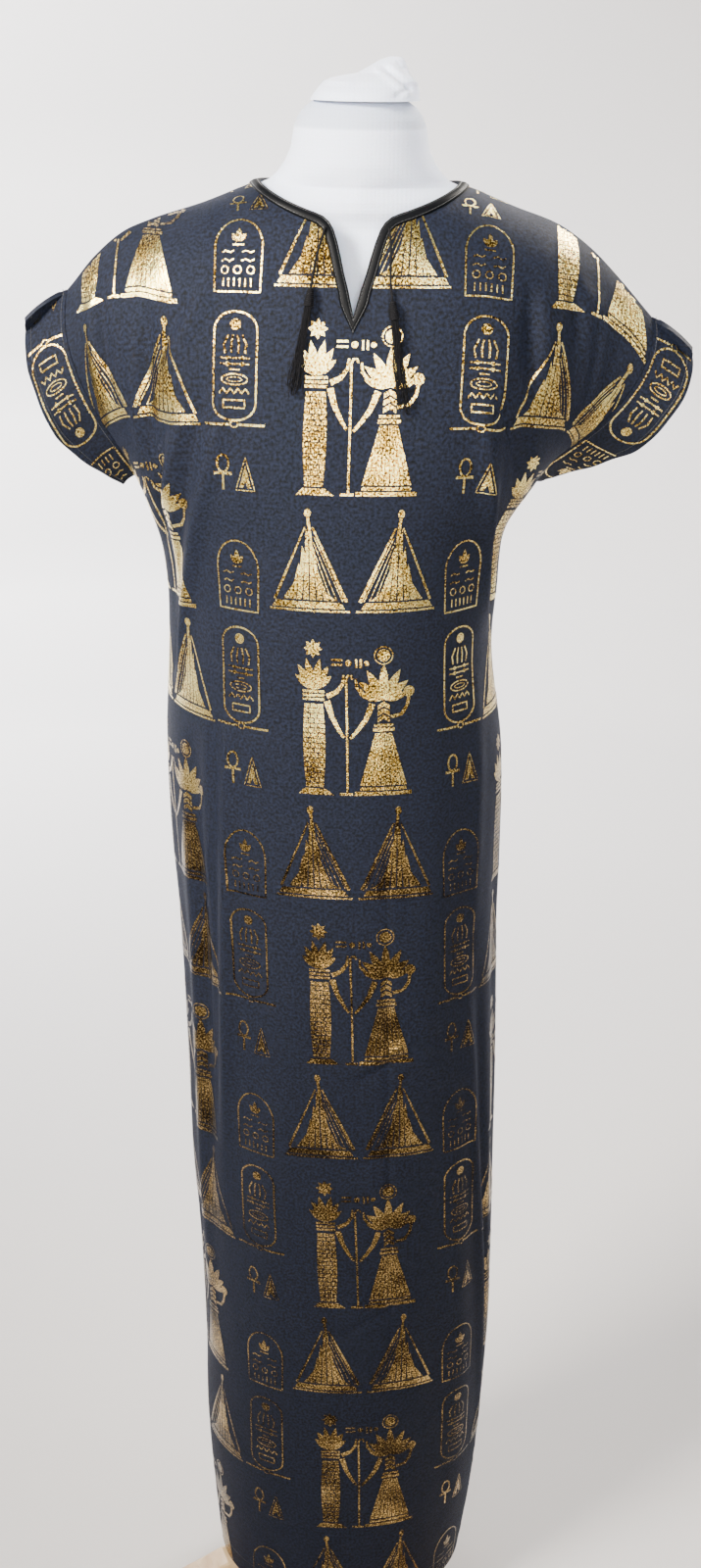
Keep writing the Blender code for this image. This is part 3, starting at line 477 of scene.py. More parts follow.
def shell(name, outer, inner, look, uv, ring=False):
    """A thin closed wall between two grids of places."""
    rows, columns = outer.shape[:2]
    count = rows * columns
    i, j = np.meshgrid(np.arange(rows - 1), np.arange(columns if ring else columns - 1), indexing="ij")
    k = (j + 1) % columns
    corners = (i * columns + j, i * columns + k, (i + 1) * columns + k, (i + 1) * columns + j)
    top = np.stack([corner.ravel() for corner in corners], axis=1)
    under = top[:, ::-1] + count
    edges = []
    for row in (0, rows - 1):
        j = np.arange(columns if ring else columns - 1)
        k = (j + 1) % columns
        p, q = row * columns + j, row * columns + k
        if row == 0:
            p, q = q, p
        edges.append(np.stack([p, q, q + count, p + count], axis=1))
    if not ring:
        for column in (0, columns - 1):
            i = np.arange(rows - 1)
            p, q = i * columns + column, (i + 1) * columns + column
            if column:
                p, q = q, p
            edges.append(np.stack([p, q, q + count, p + count], axis=1))
    faces = np.concatenate([top, under] + edges).tolist()
    item = make_mesh(name, np.concatenate([outer.reshape(-1, 3), inner.reshape(-1, 3)]), faces, look,
                     np.concatenate([uv.reshape(-1, 2), uv.reshape(-1, 2)]))
    finish_solid(item, sharp_from=50)
    return item


def ring_faces(rows, count):
    """Faces that join closed rings, one to the next, and shut both ends."""
    faces = []
    for i in range(rows - 1):
        for j in range(count):
            k = (j + 1) % count
            faces.append([i * count + j, i * count + k, (i + 1) * count + k, (i + 1) * count + j])
    return faces + [list(range(count))[::-1], [(rows - 1) * count + j for j in range(count)]]


# Two ties of round cotton braid come out from under the binding at the corners of the neck.
# Each hangs free down the chest and ends in a tassel: a wrapped head and a loose skirt of threads.
SEAM = 0.0003
BINDING = 0.0012
CORD_RADIUS = 0.0010
CORD_POINTS = 36
CORD_FINER = 6
CORD_INNER_POINTS = 14
TASSEL_HEAD = 0.014
TASSEL_LIFT = 0.0050
# shares of the tassel's length between which the cord runs on inside it
CORD_ENTERS, CORD_INSIDE = 0.25, 0.72
# Route of each cord on the cut, the place of its tassel's foot, and the seed of its threads
TIES = {
    "left": (((-0.0245, 1.3355), (-0.0270, 1.3270), (-0.0300, 1.3170), (-0.0325, 1.3040), (-0.0335, 1.2970)),
             (-0.0440, 1.2380), 5),
    "right": (((0.0248, 1.3355), (0.0264, 1.3270), (0.0272, 1.3170), (0.0278, 1.3000), (0.0296, 1.2900)),
              (0.0420, 1.2280), 9),
}
BRAID_STRANDS = 3
BRAID_PITCH = 0.0048
STRAND_AWAY = 0.45
STRAND_THICK = 0.62
# The head is a core wound with thread. Columns of its shape: at the top, more at the foot
HEAD_CORE = (0.0014, 0.0018)
HEAD_WRAPPED = (0.0017, 0.0016)
HEAD_SWELL = 0.8
WRAPS = 9
WRAP_THREAD = 0.00085
WRAP_SLANT = 0.0006
HEAD_FORWARD = 0.0018
THREADS = 38
THREAD_RADIUS = 0.00028
THREAD_STEPS = 14
THREAD_SPREAD = 0.0029
THREAD_DEEP = 0.0030
THREAD_CLEAR = 0.0008
GOLDEN_ANGLE = 2.39996
# a way that none of the tubes runs along
OFF_THE_WAY = np.array([0.31, -0.91, 0.27])
braid, tree, shader = new_material("cotton_braid", Roughness=0.8, Specular_IOR_Level=0.15)
place = node(tree, "ShaderNodeTexCoord").outputs["Object"]
drive(tree, shader, Base_Color=two_tones(tree, noise(tree, place, 900, 3), "#040406", "#0c0c10"))


def tube(path, radius, sides):
    """Points and faces of a closed round tube along a path, with flat ends."""
    path = np.asarray(path)
    way = unit(np.gradient(path, axis=0))
    across = unit(np.cross(way, OFF_THE_WAY))
    beside = np.cross(way, across)
    radius = np.broadcast_to(radius, len(path))
    turn = np.linspace(0, 2 * math.pi, sides, endpoint=False)
    ring = (np.cos(turn)[None, :, None] * across[:, None] + np.sin(turn)[None, :, None] * beside[:, None])
    return (path[:, None] + ring * radius[:, None, None]).reshape(-1, 3), ring_faces(len(path), sides)


def joined(parts):
    """Several bodies or flat shapes as the points and faces of one."""
    points, faces, start = [], [], 0
    for some_points, some_faces in parts:
        points.append(some_points)
        faces += [[corner + start for corner in face] for face in some_faces]
        start += len(some_points)
    return np.concatenate(points), faces


for side_name, (route, (foot_u, foot_v), seed) in TIES.items():
    share = lengths_along(route)
    u, v = smooth_path(share, route, np.linspace(0, share[-1], CORD_POINTS)).T
    path, out = cloth("front", u, v, SEAM + BINDING + CORD_RADIUS + SEAM)
    # the braid runs on through the tassel's head and on between its threads
    top_u, top_v = route[-1]
    tassel_long = float(np.hypot(foot_u - top_u, foot_v - top_v))
    onward = np.linspace(CORD_ENTERS, CORD_INSIDE, CORD_INNER_POINTS)
    inside, inside_out = cloth("front", top_u + (foot_u - top_u) * onward, top_v + (foot_v - top_v) * onward,
                               TASSEL_LIFT)
    coarse = np.concatenate([path, inside])
    coarse_out = np.concatenate([out, inside_out])
    stations = lengths_along(coarse)
    along = np.linspace(0, stations[-1], CORD_POINTS * CORD_FINER)
    smooth, fine_out = (smooth_path(stations, rows, along) for rows in (coarse, coarse_out))
    fine_way = unit(np.gradient(smooth, axis=0))
    fine_beside = unit(np.cross(fine_way, fine_out))
    fine_out = np.cross(fine_beside, fine_way)
    strands = []
    for number in range(BRAID_STRANDS):
        turn = (2 * math.pi * (along / BRAID_PITCH + number / BRAID_STRANDS))[:, None]
        away = (np.cos(turn) * fine_out + np.sin(turn) * fine_beside) * CORD_RADIUS * STRAND_AWAY
        strands.append(tube(smooth + away, CORD_RADIUS * STRAND_THICK, 8))
    cord = make_mesh(f"tie_{side_name}_braid", *joined(strands), braid)
    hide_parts(f"tie_cord_{side_name}")
    # the tassel hangs from the cord's end, in line with it at first and then straight down the cloth
    down = unit(path[-1] - path[-3])
    forward = unit(out[-1] - down * np.dot(out[-1], down))
    aside = np.cross(down, forward)
    middle = path[-1] + forward * HEAD_FORWARD
    body = []
    for number in range(WRAPS):
        height = SEAM + 0.0012 + number * (TASSEL_HEAD - 0.0016) / (WRAPS - 1)
        turn = np.linspace(0, 2 * math.pi, 17)[:, None]
        round_off = HEAD_WRAPPED[0] + HEAD_WRAPPED[1] * (number / (WRAPS - 1)) ** HEAD_SWELL
        loop = middle + down * (height + WRAP_SLANT * np.sin(turn)) + (
            np.cos(turn) * aside + np.sin(turn) * forward) * round_off
        body.append(tube(loop, WRAP_THREAD, 6))
    core = np.linspace(SEAM, TASSEL_HEAD, 8)[:, None]
    thick = HEAD_CORE[0] + HEAD_CORE[1] * np.linspace(0, 1, 8) ** HEAD_SWELL
    body.append(tube(middle + down * core, thick, 10))
    random = np.random.default_rng(seed)
    length = tassel_long - TASSEL_HEAD
    head_share = TASSEL_HEAD / (TASSEL_HEAD + length)
    for number in range(THREADS):
        radius = math.sqrt((number + 0.5) / THREADS)
        angle = number * GOLDEN_ANGLE
        off_x, off_y = radius * math.cos(angle), radius * math.sin(angle)
        steps = np.linspace(0, 1, THREAD_STEPS)
        reach = head_share + (1 - head_share) * (0.80 + 0.26 * random.random()) * steps
        curl = random.uniform(-1, 1, 4)
        wander = (curl[0] * np.sin(5 * steps + 3 * curl[1])
                  + 0.6 * curl[2] * np.sin(11 * steps + 3 * curl[3])) * steps
        spread = 1 + 0.9 * steps ** 1.4
        thread_u = top_u + (foot_u - top_u) * reach + (off_x * spread + 1.1 * wander) * THREAD_SPREAD
        thread_v = top_v + (foot_v - top_v) * reach
        lift = TASSEL_LIFT + off_y * THREAD_DEEP * (1 - 0.3 * steps) + 0.0006 * wander
        thread, _ = cloth("front", thread_u, thread_v, np.maximum(lift, THREAD_CLEAR))
        root = (middle + down * TASSEL_HEAD * 0.9 + aside * (-off_x) * THREAD_SPREAD
                + forward * off_y * THREAD_SPREAD)
        blend = ease(steps / 0.35)[:, None]
        thread = (1 - blend) * (root + down * (length * steps)[:, None]) + blend * thread
        body.append(tube(thread, THREAD_RADIUS, 4))
    tassel = make_mesh(f"tie_{side_name}_tassel", *joined(body), braid)
    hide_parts(f"tassel_{side_name}")

# Front and back are cut in one with their cap sleeves from black polyester-cotton poplin.
# It is a tight plain weave with a soft sheen. Their sides and shoulders are seamed edge to edge.
CLOTH = 0.0009
COLUMN_STEP = 0.004
ROW_STEP = 0.005
UPPER_ROWS = 52
THREAD_SPACING = 0.0009
# columns of faces close to the neck's corners
NECK_COLUMNS = (0.0765, 0.0785)
poplin, tree, shader = new_material("woven_poplin", Roughness=0.72, Specular_IOR_Level=0.14,
                                    Sheen_Weight=0.04, Sheen_Roughness=0.35, Sheen_Tint="#6f84c0")
cut_place = node(tree, "ShaderNodeUVMap", {"uv_map": "cut"}).outputs["UV"]
threads = [waves(tree, cut_place, axis, 2 * math.pi / (20 * THREAD_SPACING), 0.6, 1.0) for axis in "XY"]
rumpled = bump(tree, noise(tree, cut_place, 26, 4, Roughness=0.55), 0.45, 0.005)
slubs = noise(tree, cut_place, 420, 2)
drive(tree, shader, Base_Color=two_tones(tree, slubs, "#06080d", "#141a2b", 0.36, 0.64),
      Normal=bump(tree, combined(tree, "MAXIMUM", *threads), 0.6, 0.0003, rumpled))


def cloth_panel(side, top):
    """A thin shell over one whole side of the garment."""
    half = np.concatenate([
        np.arange(0, SLIT_HALF, COLUMN_STEP / 2), np.arange(SLIT_HALF, NECK_HALF, COLUMN_STEP), NECK_COLUMNS,
        np.arange(NECK_HALF, HALF_WIDTH - COLUMN_STEP / 2, COLUMN_STEP), [HALF_WIDTH]])
    half = np.unique(np.round(half, 5))
    columns = np.concatenate([-half[:0:-1], half])
    below = np.arange(HEM, UNDERARM, ROW_STEP)
    share = np.linspace(0, 1, UPPER_ROWS + 1)[:, None]
    above = UNDERARM + (top(columns)[None, :] - UNDERARM) * share
    v = np.concatenate([np.repeat(below[:, None], len(columns), axis=1), above])
    u = np.repeat(columns[None, :], len(v), axis=0)
    outer, normal = cloth(side, u, v)
    item = shell(f"jalabiya_{side}", outer, outer - normal * CLOTH, poplin, np.stack([u, v], axis=-1))
    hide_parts(f"{side}_panel")


cloth_panel("front", front_top)
cloth_panel("back", back_top)

# A straight band of the same poplin, 43 mm wide, is sewn round each sleeve end and topstitched.
# It carries on from the armhole's edge, turns away to hang, and is folded up narrower under the arm.
BAND_WIDTH = 0.043
BAND_UNDER_ARM = 0.016
BAND_FOLDS_UP = 0.5
BAND_START = 0.0006
BAND_LEAST_FORWARD = 0.15
BAND_RINGS = 12
BAND_SIDE_POINTS = 60
BAND_LOWEST = 1 / 12
BEFORE_EDGE = 0.0136
# Side of the body, and the ways that the band hangs at the fold line and under the arm
BANDS = {
    "left": (-1, (-0.70, 0.0, -0.71), (-0.45, 0.45, -0.77)),
    "right": (1, (0.68, 0.0, -0.73), (0.80, 0.45, -0.10)),
}
# Waves round the band: how many, their height, and where they start
BAND_WAVES = ((5, 0.0010, 0.4), (8, 0.0007, 2.1), (13, 0.0004, 4.0))


def band_grid(sign, tip_way, underarm_way):
    """Places of a sleeve band: rows go across it, columns round it from the fold line."""
    share = np.linspace(1, BAND_LOWEST, BAND_SIDE_POINTS)[:, None]
    hangs = unit(share * tip_way + (1 - share) * underarm_way)
    v = UNDERARM + (float(shoulder_line(HALF_WIDTH)) - UNDERARM) * share[:, 0]
    edges, leaves = [], []
    for side in ("front", "back"):
        edge, _ = cloth(side, np.full_like(v, sign * HALF_WIDTH), v)
        before, _ = cloth(side, np.full_like(v, sign * (HALF_WIDTH - BEFORE_EDGE)), v)
        down = unit(np.gradient(edge, axis=0))
        ahead = edge - before
        ahead = unit(ahead - down * np.sum(ahead * down, axis=1, keepdims=True))
        normal = np.cross(down, ahead) * (sign if side == "front" else -sign)
        forward = np.maximum(np.sum(hangs * ahead, axis=1, keepdims=True), BAND_LEAST_FORWARD)
        out = np.maximum(np.sum(hangs * normal, axis=1, keepdims=True), 0.0)
        edges.append(edge)
        leaves.append(unit(ahead * forward + normal * out))
    under = np.linspace(0, 1, 8)[1:-1, None]

    def round_arm(front, back):
        """Rows down the front, across under the arm and up the back, as one ring."""
        across = front[-1] * (1 - under) + back[-1] * under
        return np.concatenate([front, across, back[:0:-1]])

    edge = round_arm(*edges)
    leaves = unit(round_arm(*leaves))
    leaves[0] = unit(leaves[0] * (1, 0, 1))
    hangs = unit(round_arm(hangs, hangs))
    shown = BAND_UNDER_ARM + (BAND_WIDTH - BAND_UNDER_ARM) * ease(share / BAND_FOLDS_UP)
    width = round_arm(shown, shown)
    rows = [edge + leaves * BAND_START]
    for step in range(BAND_RINGS):
        turned = (step + 0.5) / BAND_RINGS
        rows.append(rows[-1] + unit((1 - turned) * leaves + turned * hangs) * width / BAND_RINGS)
    outer = np.stack(rows)

    def outward_of(of):
        """Outward ways of the band's places."""
        around = np.roll(of, -1, axis=1) - np.roll(of, 1, axis=1)
        return unit(np.cross(around, np.gradient(of, axis=0)) * sign)

    at = np.linspace(0, 2 * math.pi, outer.shape[1], endpoint=False)
    wave = sum(size * np.sin(count * at + phase) for count, size, phase in BAND_WAVES)
    across = np.linspace(0, 1, BAND_RINGS + 1)[:, None]
    outer = outer + outward_of(outer) * (wave[None, :] * across)[..., None]
    return outer, outward_of(outer), width[:, 0]


def lengths_round(ring):
    """Length round a closed ring of places to each of them, from the first."""
    return lengths_along(np.concatenate([ring, ring[:1]]))


bands = {name: band_grid(*settings) for name, settings in BANDS.items()}
for side_name, (outer, outward, width) in bands.items():
    around = lengths_round(outer[0])
    across = np.linspace(0, 1, BAND_RINGS + 1)[:, None] * width
    uv = np.stack(np.broadcast_arrays(around[None, :-1], across), axis=-1)
    band = shell(f"sleeve_band_{side_name}_cloth", outer, outer - outward * CLOTH, poplin, uv, ring=True)
    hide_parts(f"sleeve_band_{side_name}")

# A bias strip of black satin, 8 mm wide, binds the neck and both sides of the slit.
# It is folded to a raised rib in the middle and stitched down along both edges.
SLIT_POINT = 1.25
BACK_NECK_POINTS = 23
NECK_STATIONS = (0.0, 0.0025, 0.0050, 0.0068, 0.0085, 0.0100, 0.0115, 0.0130, 0.0145, 0.0163, 0.0180,
                 0.0198, 0.0215, 0.0240, 0.0265, 0.0297, 0.0330, 0.0375, 0.042, 0.050, 0.058, 0.0655,
                 0.072, 0.0765, 0.080)
BINDING_FINER = 5
BINDING_STEP = 0.002
# Across the strip. Columns: distance from the neck edge, height over the cloth
BINDING_PROFILE = (
    (0.0000, 0.0006),
    (0.0003, 0.0011),
    (0.0009, 0.0014),
    (0.0015, 0.0010),
    (0.0021, 0.0014),
    (0.0032, 0.0017),
    (0.0042, 0.0018),
    (0.0052, 0.0017),
    (0.0060, 0.0014),
    (0.0066, 0.0010),
    (0.0073, 0.0013),
    (0.0080, 0.0006),
)
satin, tree, shader = new_material("satin_binding", Roughness=0.55, Specular_IOR_Level=0.10,
                                   Base_Color="#040507")
place = node(tree, "ShaderNodeTexCoord").outputs["Object"]
drive(tree, shader, Normal=bump(tree, noise(tree, place, 1400, 1), 0.3, 0.0002))


def neck_line(inset, height):
    """Closed line along the neck edge from the slit's foot, moved into the cloth by an inset."""
    right = np.array([(u, float(front_top(u))) for u in NECK_STATIONS])
    way = unit(np.gradient(right, axis=0))
    into = np.stack([way[:, 1], -way[:, 0]], axis=1)
    into[-1] = (1.0, -SHOULDER_FALL)
    right = right + into * inset
    right[0] = (0.0, float(front_top(0.0)) - SLIT_POINT * inset)
    turn = np.linspace(0, math.pi, BACK_NECK_POINTS + 2)[1:-1]
    cosine, sine = np.cos(turn), np.sin(turn)
    behind = np.stack([NECK_HALF * cosine, NECK_POINT - BACK_NECK_DROP * sine], axis=1)
    behind += unit(np.stack([cosine / NECK_HALF, -sine / BACK_NECK_DROP], axis=1)) * inset
    left = right[::-1] * (-1.0, 1.0)
    stretches = zip(("front", "back", "front"), (right, behind, left))
    coarse = np.concatenate([cloth(side, line[:, 0], line[:, 1], height)[0] for side, line in stretches])
    at = np.linspace(0, len(coarse) - 1, (len(coarse) - 1) * BINDING_FINER + 1)
    return smooth_path(np.arange(len(coarse)), coarse, at)


top_rows = np.stack([neck_line(inset, height) for inset, height in BINDING_PROFILE])
under_rows = np.stack([neck_line(inset, SEAM) for inset, _ in BINDING_PROFILE])
across = np.repeat(np.array([row[0] for row in BINDING_PROFILE])[:, None], top_rows.shape[1] - 1, axis=1)
along = np.repeat(np.arange(top_rows.shape[1] - 1)[None, :] * BINDING_STEP, len(BINDING_PROFILE), axis=0)
binding = shell("neck_binding_strip", top_rows[:, :-1], under_rows[:, :-1], satin,
                np.stack([along, across], axis=-1), ring=True)
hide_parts("neck_binding")

# The garment's print is thin gold foil pressed on the cloth, so it lies just above it and follows every fold.
# Each motif is drawn flat in millimetres, from its own middle and foot, then repeated over the cut.
# Its standards, fans, frames and signs are ordinary ornaments in the places and sizes of the print's own.
FOIL_LIFT = 0.00034
FOIL_STEP = 3.6
PRINT_MIDDLE = 0.006
PRINT_ROW = 0.2565
PRINT_FOOT = 1.173
# from the foot of the standards: fans beside and below, frames above, and the next column beside and below
FAN_AWAY, FAN_BELOW = 0.0355, 0.096
FRAME_AWAY = 0.098
ARCH_ABOVE, OVAL_ABOVE = 0.155, 0.054
HALF_DROP_AWAY = 0.196
HALF_DROP = 0.110
# Lower and smaller signs on the shoulders: their size, their foot, and their distance in frame columns
LOW_SIGN_SIZE = (0.9, 0.66)
LOW_SIGN_FOOT = 1.397
LOW_SIGNS_AWAY = (-0.94, 0.92)
# Cloth left without print along the hem, the seams, the neck, and the edges of the sleeve bands
BARE_HEM, BARE_SEAM, BARE_NECK, BARE_BAND = 0.002, 0.001, 0.0035, 0.0015


def resample(points, step, closed=False):
    """Points along straight lines, no further apart than a step."""
    points = np.asarray(points, float)
    if closed:
        points = np.concatenate([points, points[:1]])
    made = []
    for a, b in zip(points[:-1], points[1:]):
        count = max(1, math.ceil(np.linalg.norm(b - a) / step))
        made += [a + (b - a) * i / count for i in range(count)]
    return np.array(made if closed else made + [points[-1]])


def fill(outline):
    """A flat shape, with points inside so that it can follow the cloth."""
    edge = resample(outline, FOIL_STEP, closed=True)
    low, high = edge.min(axis=0), edge.max(axis=0)
    across, up = (np.arange(low[i] + FOIL_STEP / 2, high[i], FOIL_STEP) for i in (0, 1))
    grid = np.stack(np.meshgrid(across, up), axis=-1).reshape(-1, 2)
    start, end = edge, np.roll(edge, -1, axis=0)
    if len(grid):
        crosses = ((start[None, :, 1] > grid[:, None, 1]) != (end[None, :, 1] > grid[:, None, 1]))
        rise = np.where(end[:, 1] == start[:, 1], 1.0, end[:, 1] - start[:, 1])
        at = start[:, 0] + (grid[:, None, 1] - start[:, 1]) / rise * (end[:, 0] - start[:, 0])
        inside = (np.sum(crosses & (grid[:, None, 0] < at), axis=1) % 2) == 1
        gap = np.min(np.linalg.norm(grid[:, None] - edge[None], axis=2), axis=1)
        grid = grid[inside & (gap > FOIL_STEP * 0.45)]
    points = [Vector(p) for p in np.concatenate([edge, grid])]
    made = delaunay_2d_cdt(points, [], [list(range(len(edge)))], 1, 1e-5)
    return np.array([tuple(p) for p in made[0]]), [tuple(face) for face in made[2]]


def line(points, width, closed=False, tip=None):
    """A stroke of one width, or narrowing to a tip."""
    points = resample(points, FOIL_STEP, closed)
    if closed:
        way = np.roll(points, -1, axis=0) - np.roll(points, 1, axis=0)
    else:
        way = np.gradient(points, axis=0)
    way = unit(way)
    beside = np.stack([-way[:, 1], way[:, 0]], axis=1)
    wide = np.linspace(width, width if tip is None else tip, len(points))[:, None] / 2
    both = np.concatenate([points + beside * wide, points - beside * wide])
    count = len(points)
    last = count if closed else count - 1
    faces = [(i + count, (i + 1) % count + count, (i + 1) % count, i) for i in range(last)]
    return both, faces


def arc(x, y, rx, ry, start=0, end=360, count=24):
    """Points round an ellipse or part of it, in degrees."""
    turn = np.radians(np.linspace(start, end, count, endpoint=end - start < 360))
    return np.stack([x + rx * np.cos(turn), y + ry * np.sin(turn)], axis=1)


def bar(x0, y0, x1, y1):
    """Corners of a rectangle."""
    return [(x0, y0), (x1, y0), (x1, y1), (x0, y1)]


def petal(x, y, angle, length, half):
    """Outline of a pointed leaf that grows from a place."""
    along = np.array([0.0, 0.12, 0.3, 0.5, 0.7, 0.86, 1.0])
    wide = np.array([0.18, 0.55, 0.92, 1.0, 0.8, 0.42, 0.0]) * half
    outline = np.concatenate([np.stack([along, wide], axis=1), np.stack([along, -wide], axis=1)[-2::-1]])
    way = np.array([math.cos(math.radians(angle)), math.sin(math.radians(angle))])
    return (x, y) + outline[:, :1] * length * way + outline[:, 1:] * np.array([-way[1], way[0]])


def mirrored(motif):
    """A motif turned left to right."""
    points, faces = motif
    return points * (-1, 1), [face[::-1] for face in faces]


def standards():
    """A slim papyrus column and a broad pleated lotus standard on either side of a thin staff."""
    shapes = [fill([(-47, 0), (-17, 0), (-24, 5.5), (-42, 5.5)])]
    for number, low in enumerate(np.arange(7, 79, 4.4)):
        half = 7.2 + 2.4 * math.sin(math.pi * low / 90)
        cuts = np.linspace(-half, half, 5 if number % 2 else 4)
        shapes += [fill(bar(-33 + a + 0.35, low, -33 + b - 0.35, low + 3.7))
                   for a, b in zip(cuts[:-1], cuts[1:])]
    shapes += [fill(bar(-42, y, -24, y + 2.2)) for y in (84, 87.4, 90.8)]
    shapes += [fill(petal(-33, 94, angle, length, 3.4))
               for angle, length in ((38, 19), (58, 24), (78, 27), (102, 27), (122, 24), (142, 19))]
    shapes += [fill(petal(-33, 129, 45 * turn, 8.0, 1.9)) for turn in range(8)]
    shapes += [fill(bar(0.5, 0, 49, 3.4)), fill(bar(5, 4.6, 44.5, 7.4))]
    for number in range(9):
        low, high = -20 + number * 4.45, -7.2 + number * 1.6
        shapes.append(fill([(25 + low, 8.8), (25 + low + 3.9, 8.8), (25 + high + 1.25, 56), (25 + high, 56)]))
    shapes += [fill(bar(16, 57.4, 34, 60.6)), fill(bar(17, 61.8, 33, 64))]
    shapes += [fill([(20, low), (25, low + 3.2), (30, low), (30, low + 4), (25, low + 7.2), (20, low + 4)])
               for low in (65.4, 71, 76.6)]
    shapes += [fill(petal(25, 86, angle, length, 3.9))
               for angle, length in ((12, 21), (36, 26), (61, 29), (90, 31), (119, 29), (144, 26), (168, 21))]
    shapes += [fill(arc(25, 124, 5.4, 5.4)), line(arc(25, 124, 7.6, 7.6), 1.0, closed=True)]
    shapes += [line([(31, 70), (40, 72), (45, 79), (46.5, 87)], 2.8), fill(arc(46.5, 91.5, 4.8, 4.8))]
    shapes += [line([(-5.5, 2), (-5.5, 60), (-6, 103), (-4.6, 106.5), (-1.6, 106.5), (-0.8, 103.5)], 1.7)]
    shapes += [fill(bar(-12, 0, -1, 2.2))]
    shapes += [line([(-22, 84), (-18, 70), (-12, 58), (-8, 52)], 5.4, tip=2.2),
               line([(15.5, 82), (10, 68), (3, 58), (-3, 51)], 5.4, tip=2.2),
               line([(-22, 88), (-14, 92), (-9, 99), (-8, 107)], 4.6, tip=1.6),
               line([(16, 86), (8, 90), (2.5, 97), (2, 104)], 4.6, tip=1.6)]
    shapes += [fill(bar(-18, 119, -9, 120.8)), fill(bar(-18, 115, -9, 116.8)),
               fill(arc(-4, 117.5, 2.6, 2.6)), fill(bar(1.5, 113.5, 3.2, 121)),
               fill(bar(5.2, 113.5, 6.9, 121)), fill(arc(10.8, 117.5, 2.2, 2.2))]
    return joined(shapes)


def palm_fan():
    """A three-cornered palm fan on a low base, with its stem rising past it."""
    shapes = [fill(bar(-33, 0, 33, 1.7)), fill([(-31, 3), (29, 3), (26, 8.4), (-28, 8.4)])]
    for number in range(8):
        start, end = -25.5 + number * 6.6, -25.5 + number * 6.6 + 5.2
        top = 76 - 0.9 * abs(start + 2.6) * 2.45
        shapes.append(fill([(start * 0.86, 10), (end * 0.86, 10),
                            (end * 0.42 - 1, top - 6), (start * 0.42 - 1, top)]))
    shapes += [line([(0, 62), (-1, 72), (-2, 80)], 3.0, tip=2.0), fill(arc(-2, 81.5, 2.6, 3.6))]
    shapes += [line([(30, 9), (17, 38), (2, 70)], 2.8, tip=1.4),
               line([(-29, 9), (-17, 38), (-4, 70)], 2.2, tip=1.2)]
    shapes += [line([(27.0 - 4.4 * k, 9.5), (3.5 - 0.6 * k, 62 - 4 * k)], 0.7) for k in range(3)]
    return joined(shapes)


def arched_frame():
    """An upright frame with a round top, filled with leaves, ripples, rings and bars."""
    outline = [(-18.5, 0), (-19.2, 34)] + list(arc(0, 36, 19.2, 23.5, 176, 4, 20)) + [(19.2, 34), (18.5, 0)]
    shapes = [line(outline, 1.35, closed=True)]
    shapes += [fill(petal(0, 40, angle, length, 2.3)) for angle, length in ((50, 9), (90, 12), (130, 9))]
    shapes += [fill(bar(-4.5, 36.7, 4.5, 38.0))]
    shapes += [line([(x, y), (x + 3, y + 1.6), (x + 7, y), (x + 10, y + 1.4)], 1.1)
               for x in (-13.5, 3) for y in (31, 24)]
    shapes += [line(arc(x, 17, 2.9, 2.9), 0.9, closed=True) for x in (-10.5, 0, 10.5)]
    shapes += [fill(bar(x, 4, x + 1.1, 10.5)) for x in (-12, -7.5, -3, 1.5, 6, 10.5)]
    return joined(shapes)


def oval_frame():
    """An upright oval on a bar, filled with a disc, stems, bands, a ripple and a box."""
    outline = list(arc(0, 72, 17.5, 14, 180, 0, 16)) + list(arc(0, 16, 17.5, 14, 360, 180, 16))
    shapes = [line(outline, 1.5, closed=True), fill(bar(-25, -2.0, -4, -0.2)), fill(bar(4, -2.0, 25, -0.2)),
              line(arc(0, -0.8, 3.0, 2.4), 1.1, closed=True)]
    shapes += [fill(arc(0, 76, 4.4, 4.4))]
    shapes += [line([(x, 54), (x * 1.15, 61), (x * 0.7, 68)], 1.4) for x in (-8, -2.7, 2.7, 8)]
    shapes += [fill(bar(-12, 49.8, 12, 51.0)), fill(bar(-12, 45.2, 12, 46.4)), fill(bar(-4, 41, 4, 42.2))]
    shapes += [fill(arc(x, y, 1.7, 1.7, count=10)) for x in (-6, 6) for y in (50.4, 45.8)]
    shapes += [line(arc(0, 34, 10.5, 4.2), 1.1, closed=True), line(arc(0, 34, 6.0, 1.8), 0.7, closed=True)]
    shapes += [line([(3 * step - 12, 27 if step % 2 else 23) for step in range(9)], 1.3)]
    shapes += [line(bar(-8.5, 12, 8.5, 18), 1.3, closed=True)]
    return joined(shapes)


def ankh_and_triangle():
    """A looped cross beside a small triangle."""
    shapes = [line(arc(-9.5, 21.5, 4.7, 7.0), 1.6, closed=True), line([(-9.5, 14), (-9.5, 0)], 1.9),
              line([(-17, 13.6), (-9.5, 13.2)], 2.6, tip=1.4), line([(-2, 13.6), (-9.5, 13.2)], 2.6, tip=1.4)]
    shapes += [line([(1.5, 0.5), (17.5, 0.5), (9.5, 27)], 0.9, closed=True)]
    shapes += [fill([(4.4, 2.6), (7.4, 2.6), (9.5, 8), (11.6, 2.6), (14.6, 2.6), (9.5, 21)])]
    return joined(shapes)


MOTIFS = {"standards": standards(), "fan": palm_fan(), "arch": arched_frame(), "oval": oval_frame(),
          "sign": ankh_and_triangle()}
MOTIFS["fan_turned"] = mirrored(MOTIFS["fan"])
MOTIFS["low_sign"] = (MOTIFS["sign"][0] * LOW_SIGN_SIZE, MOTIFS["sign"][1])


def flat_print(places):
    """Puts motifs on the cut. Each place: motif, then u and v of its foot."""
    return joined([(MOTIFS[name][0] / 1000 + (u, v), MOTIFS[name][1]) for name, u, v in places])


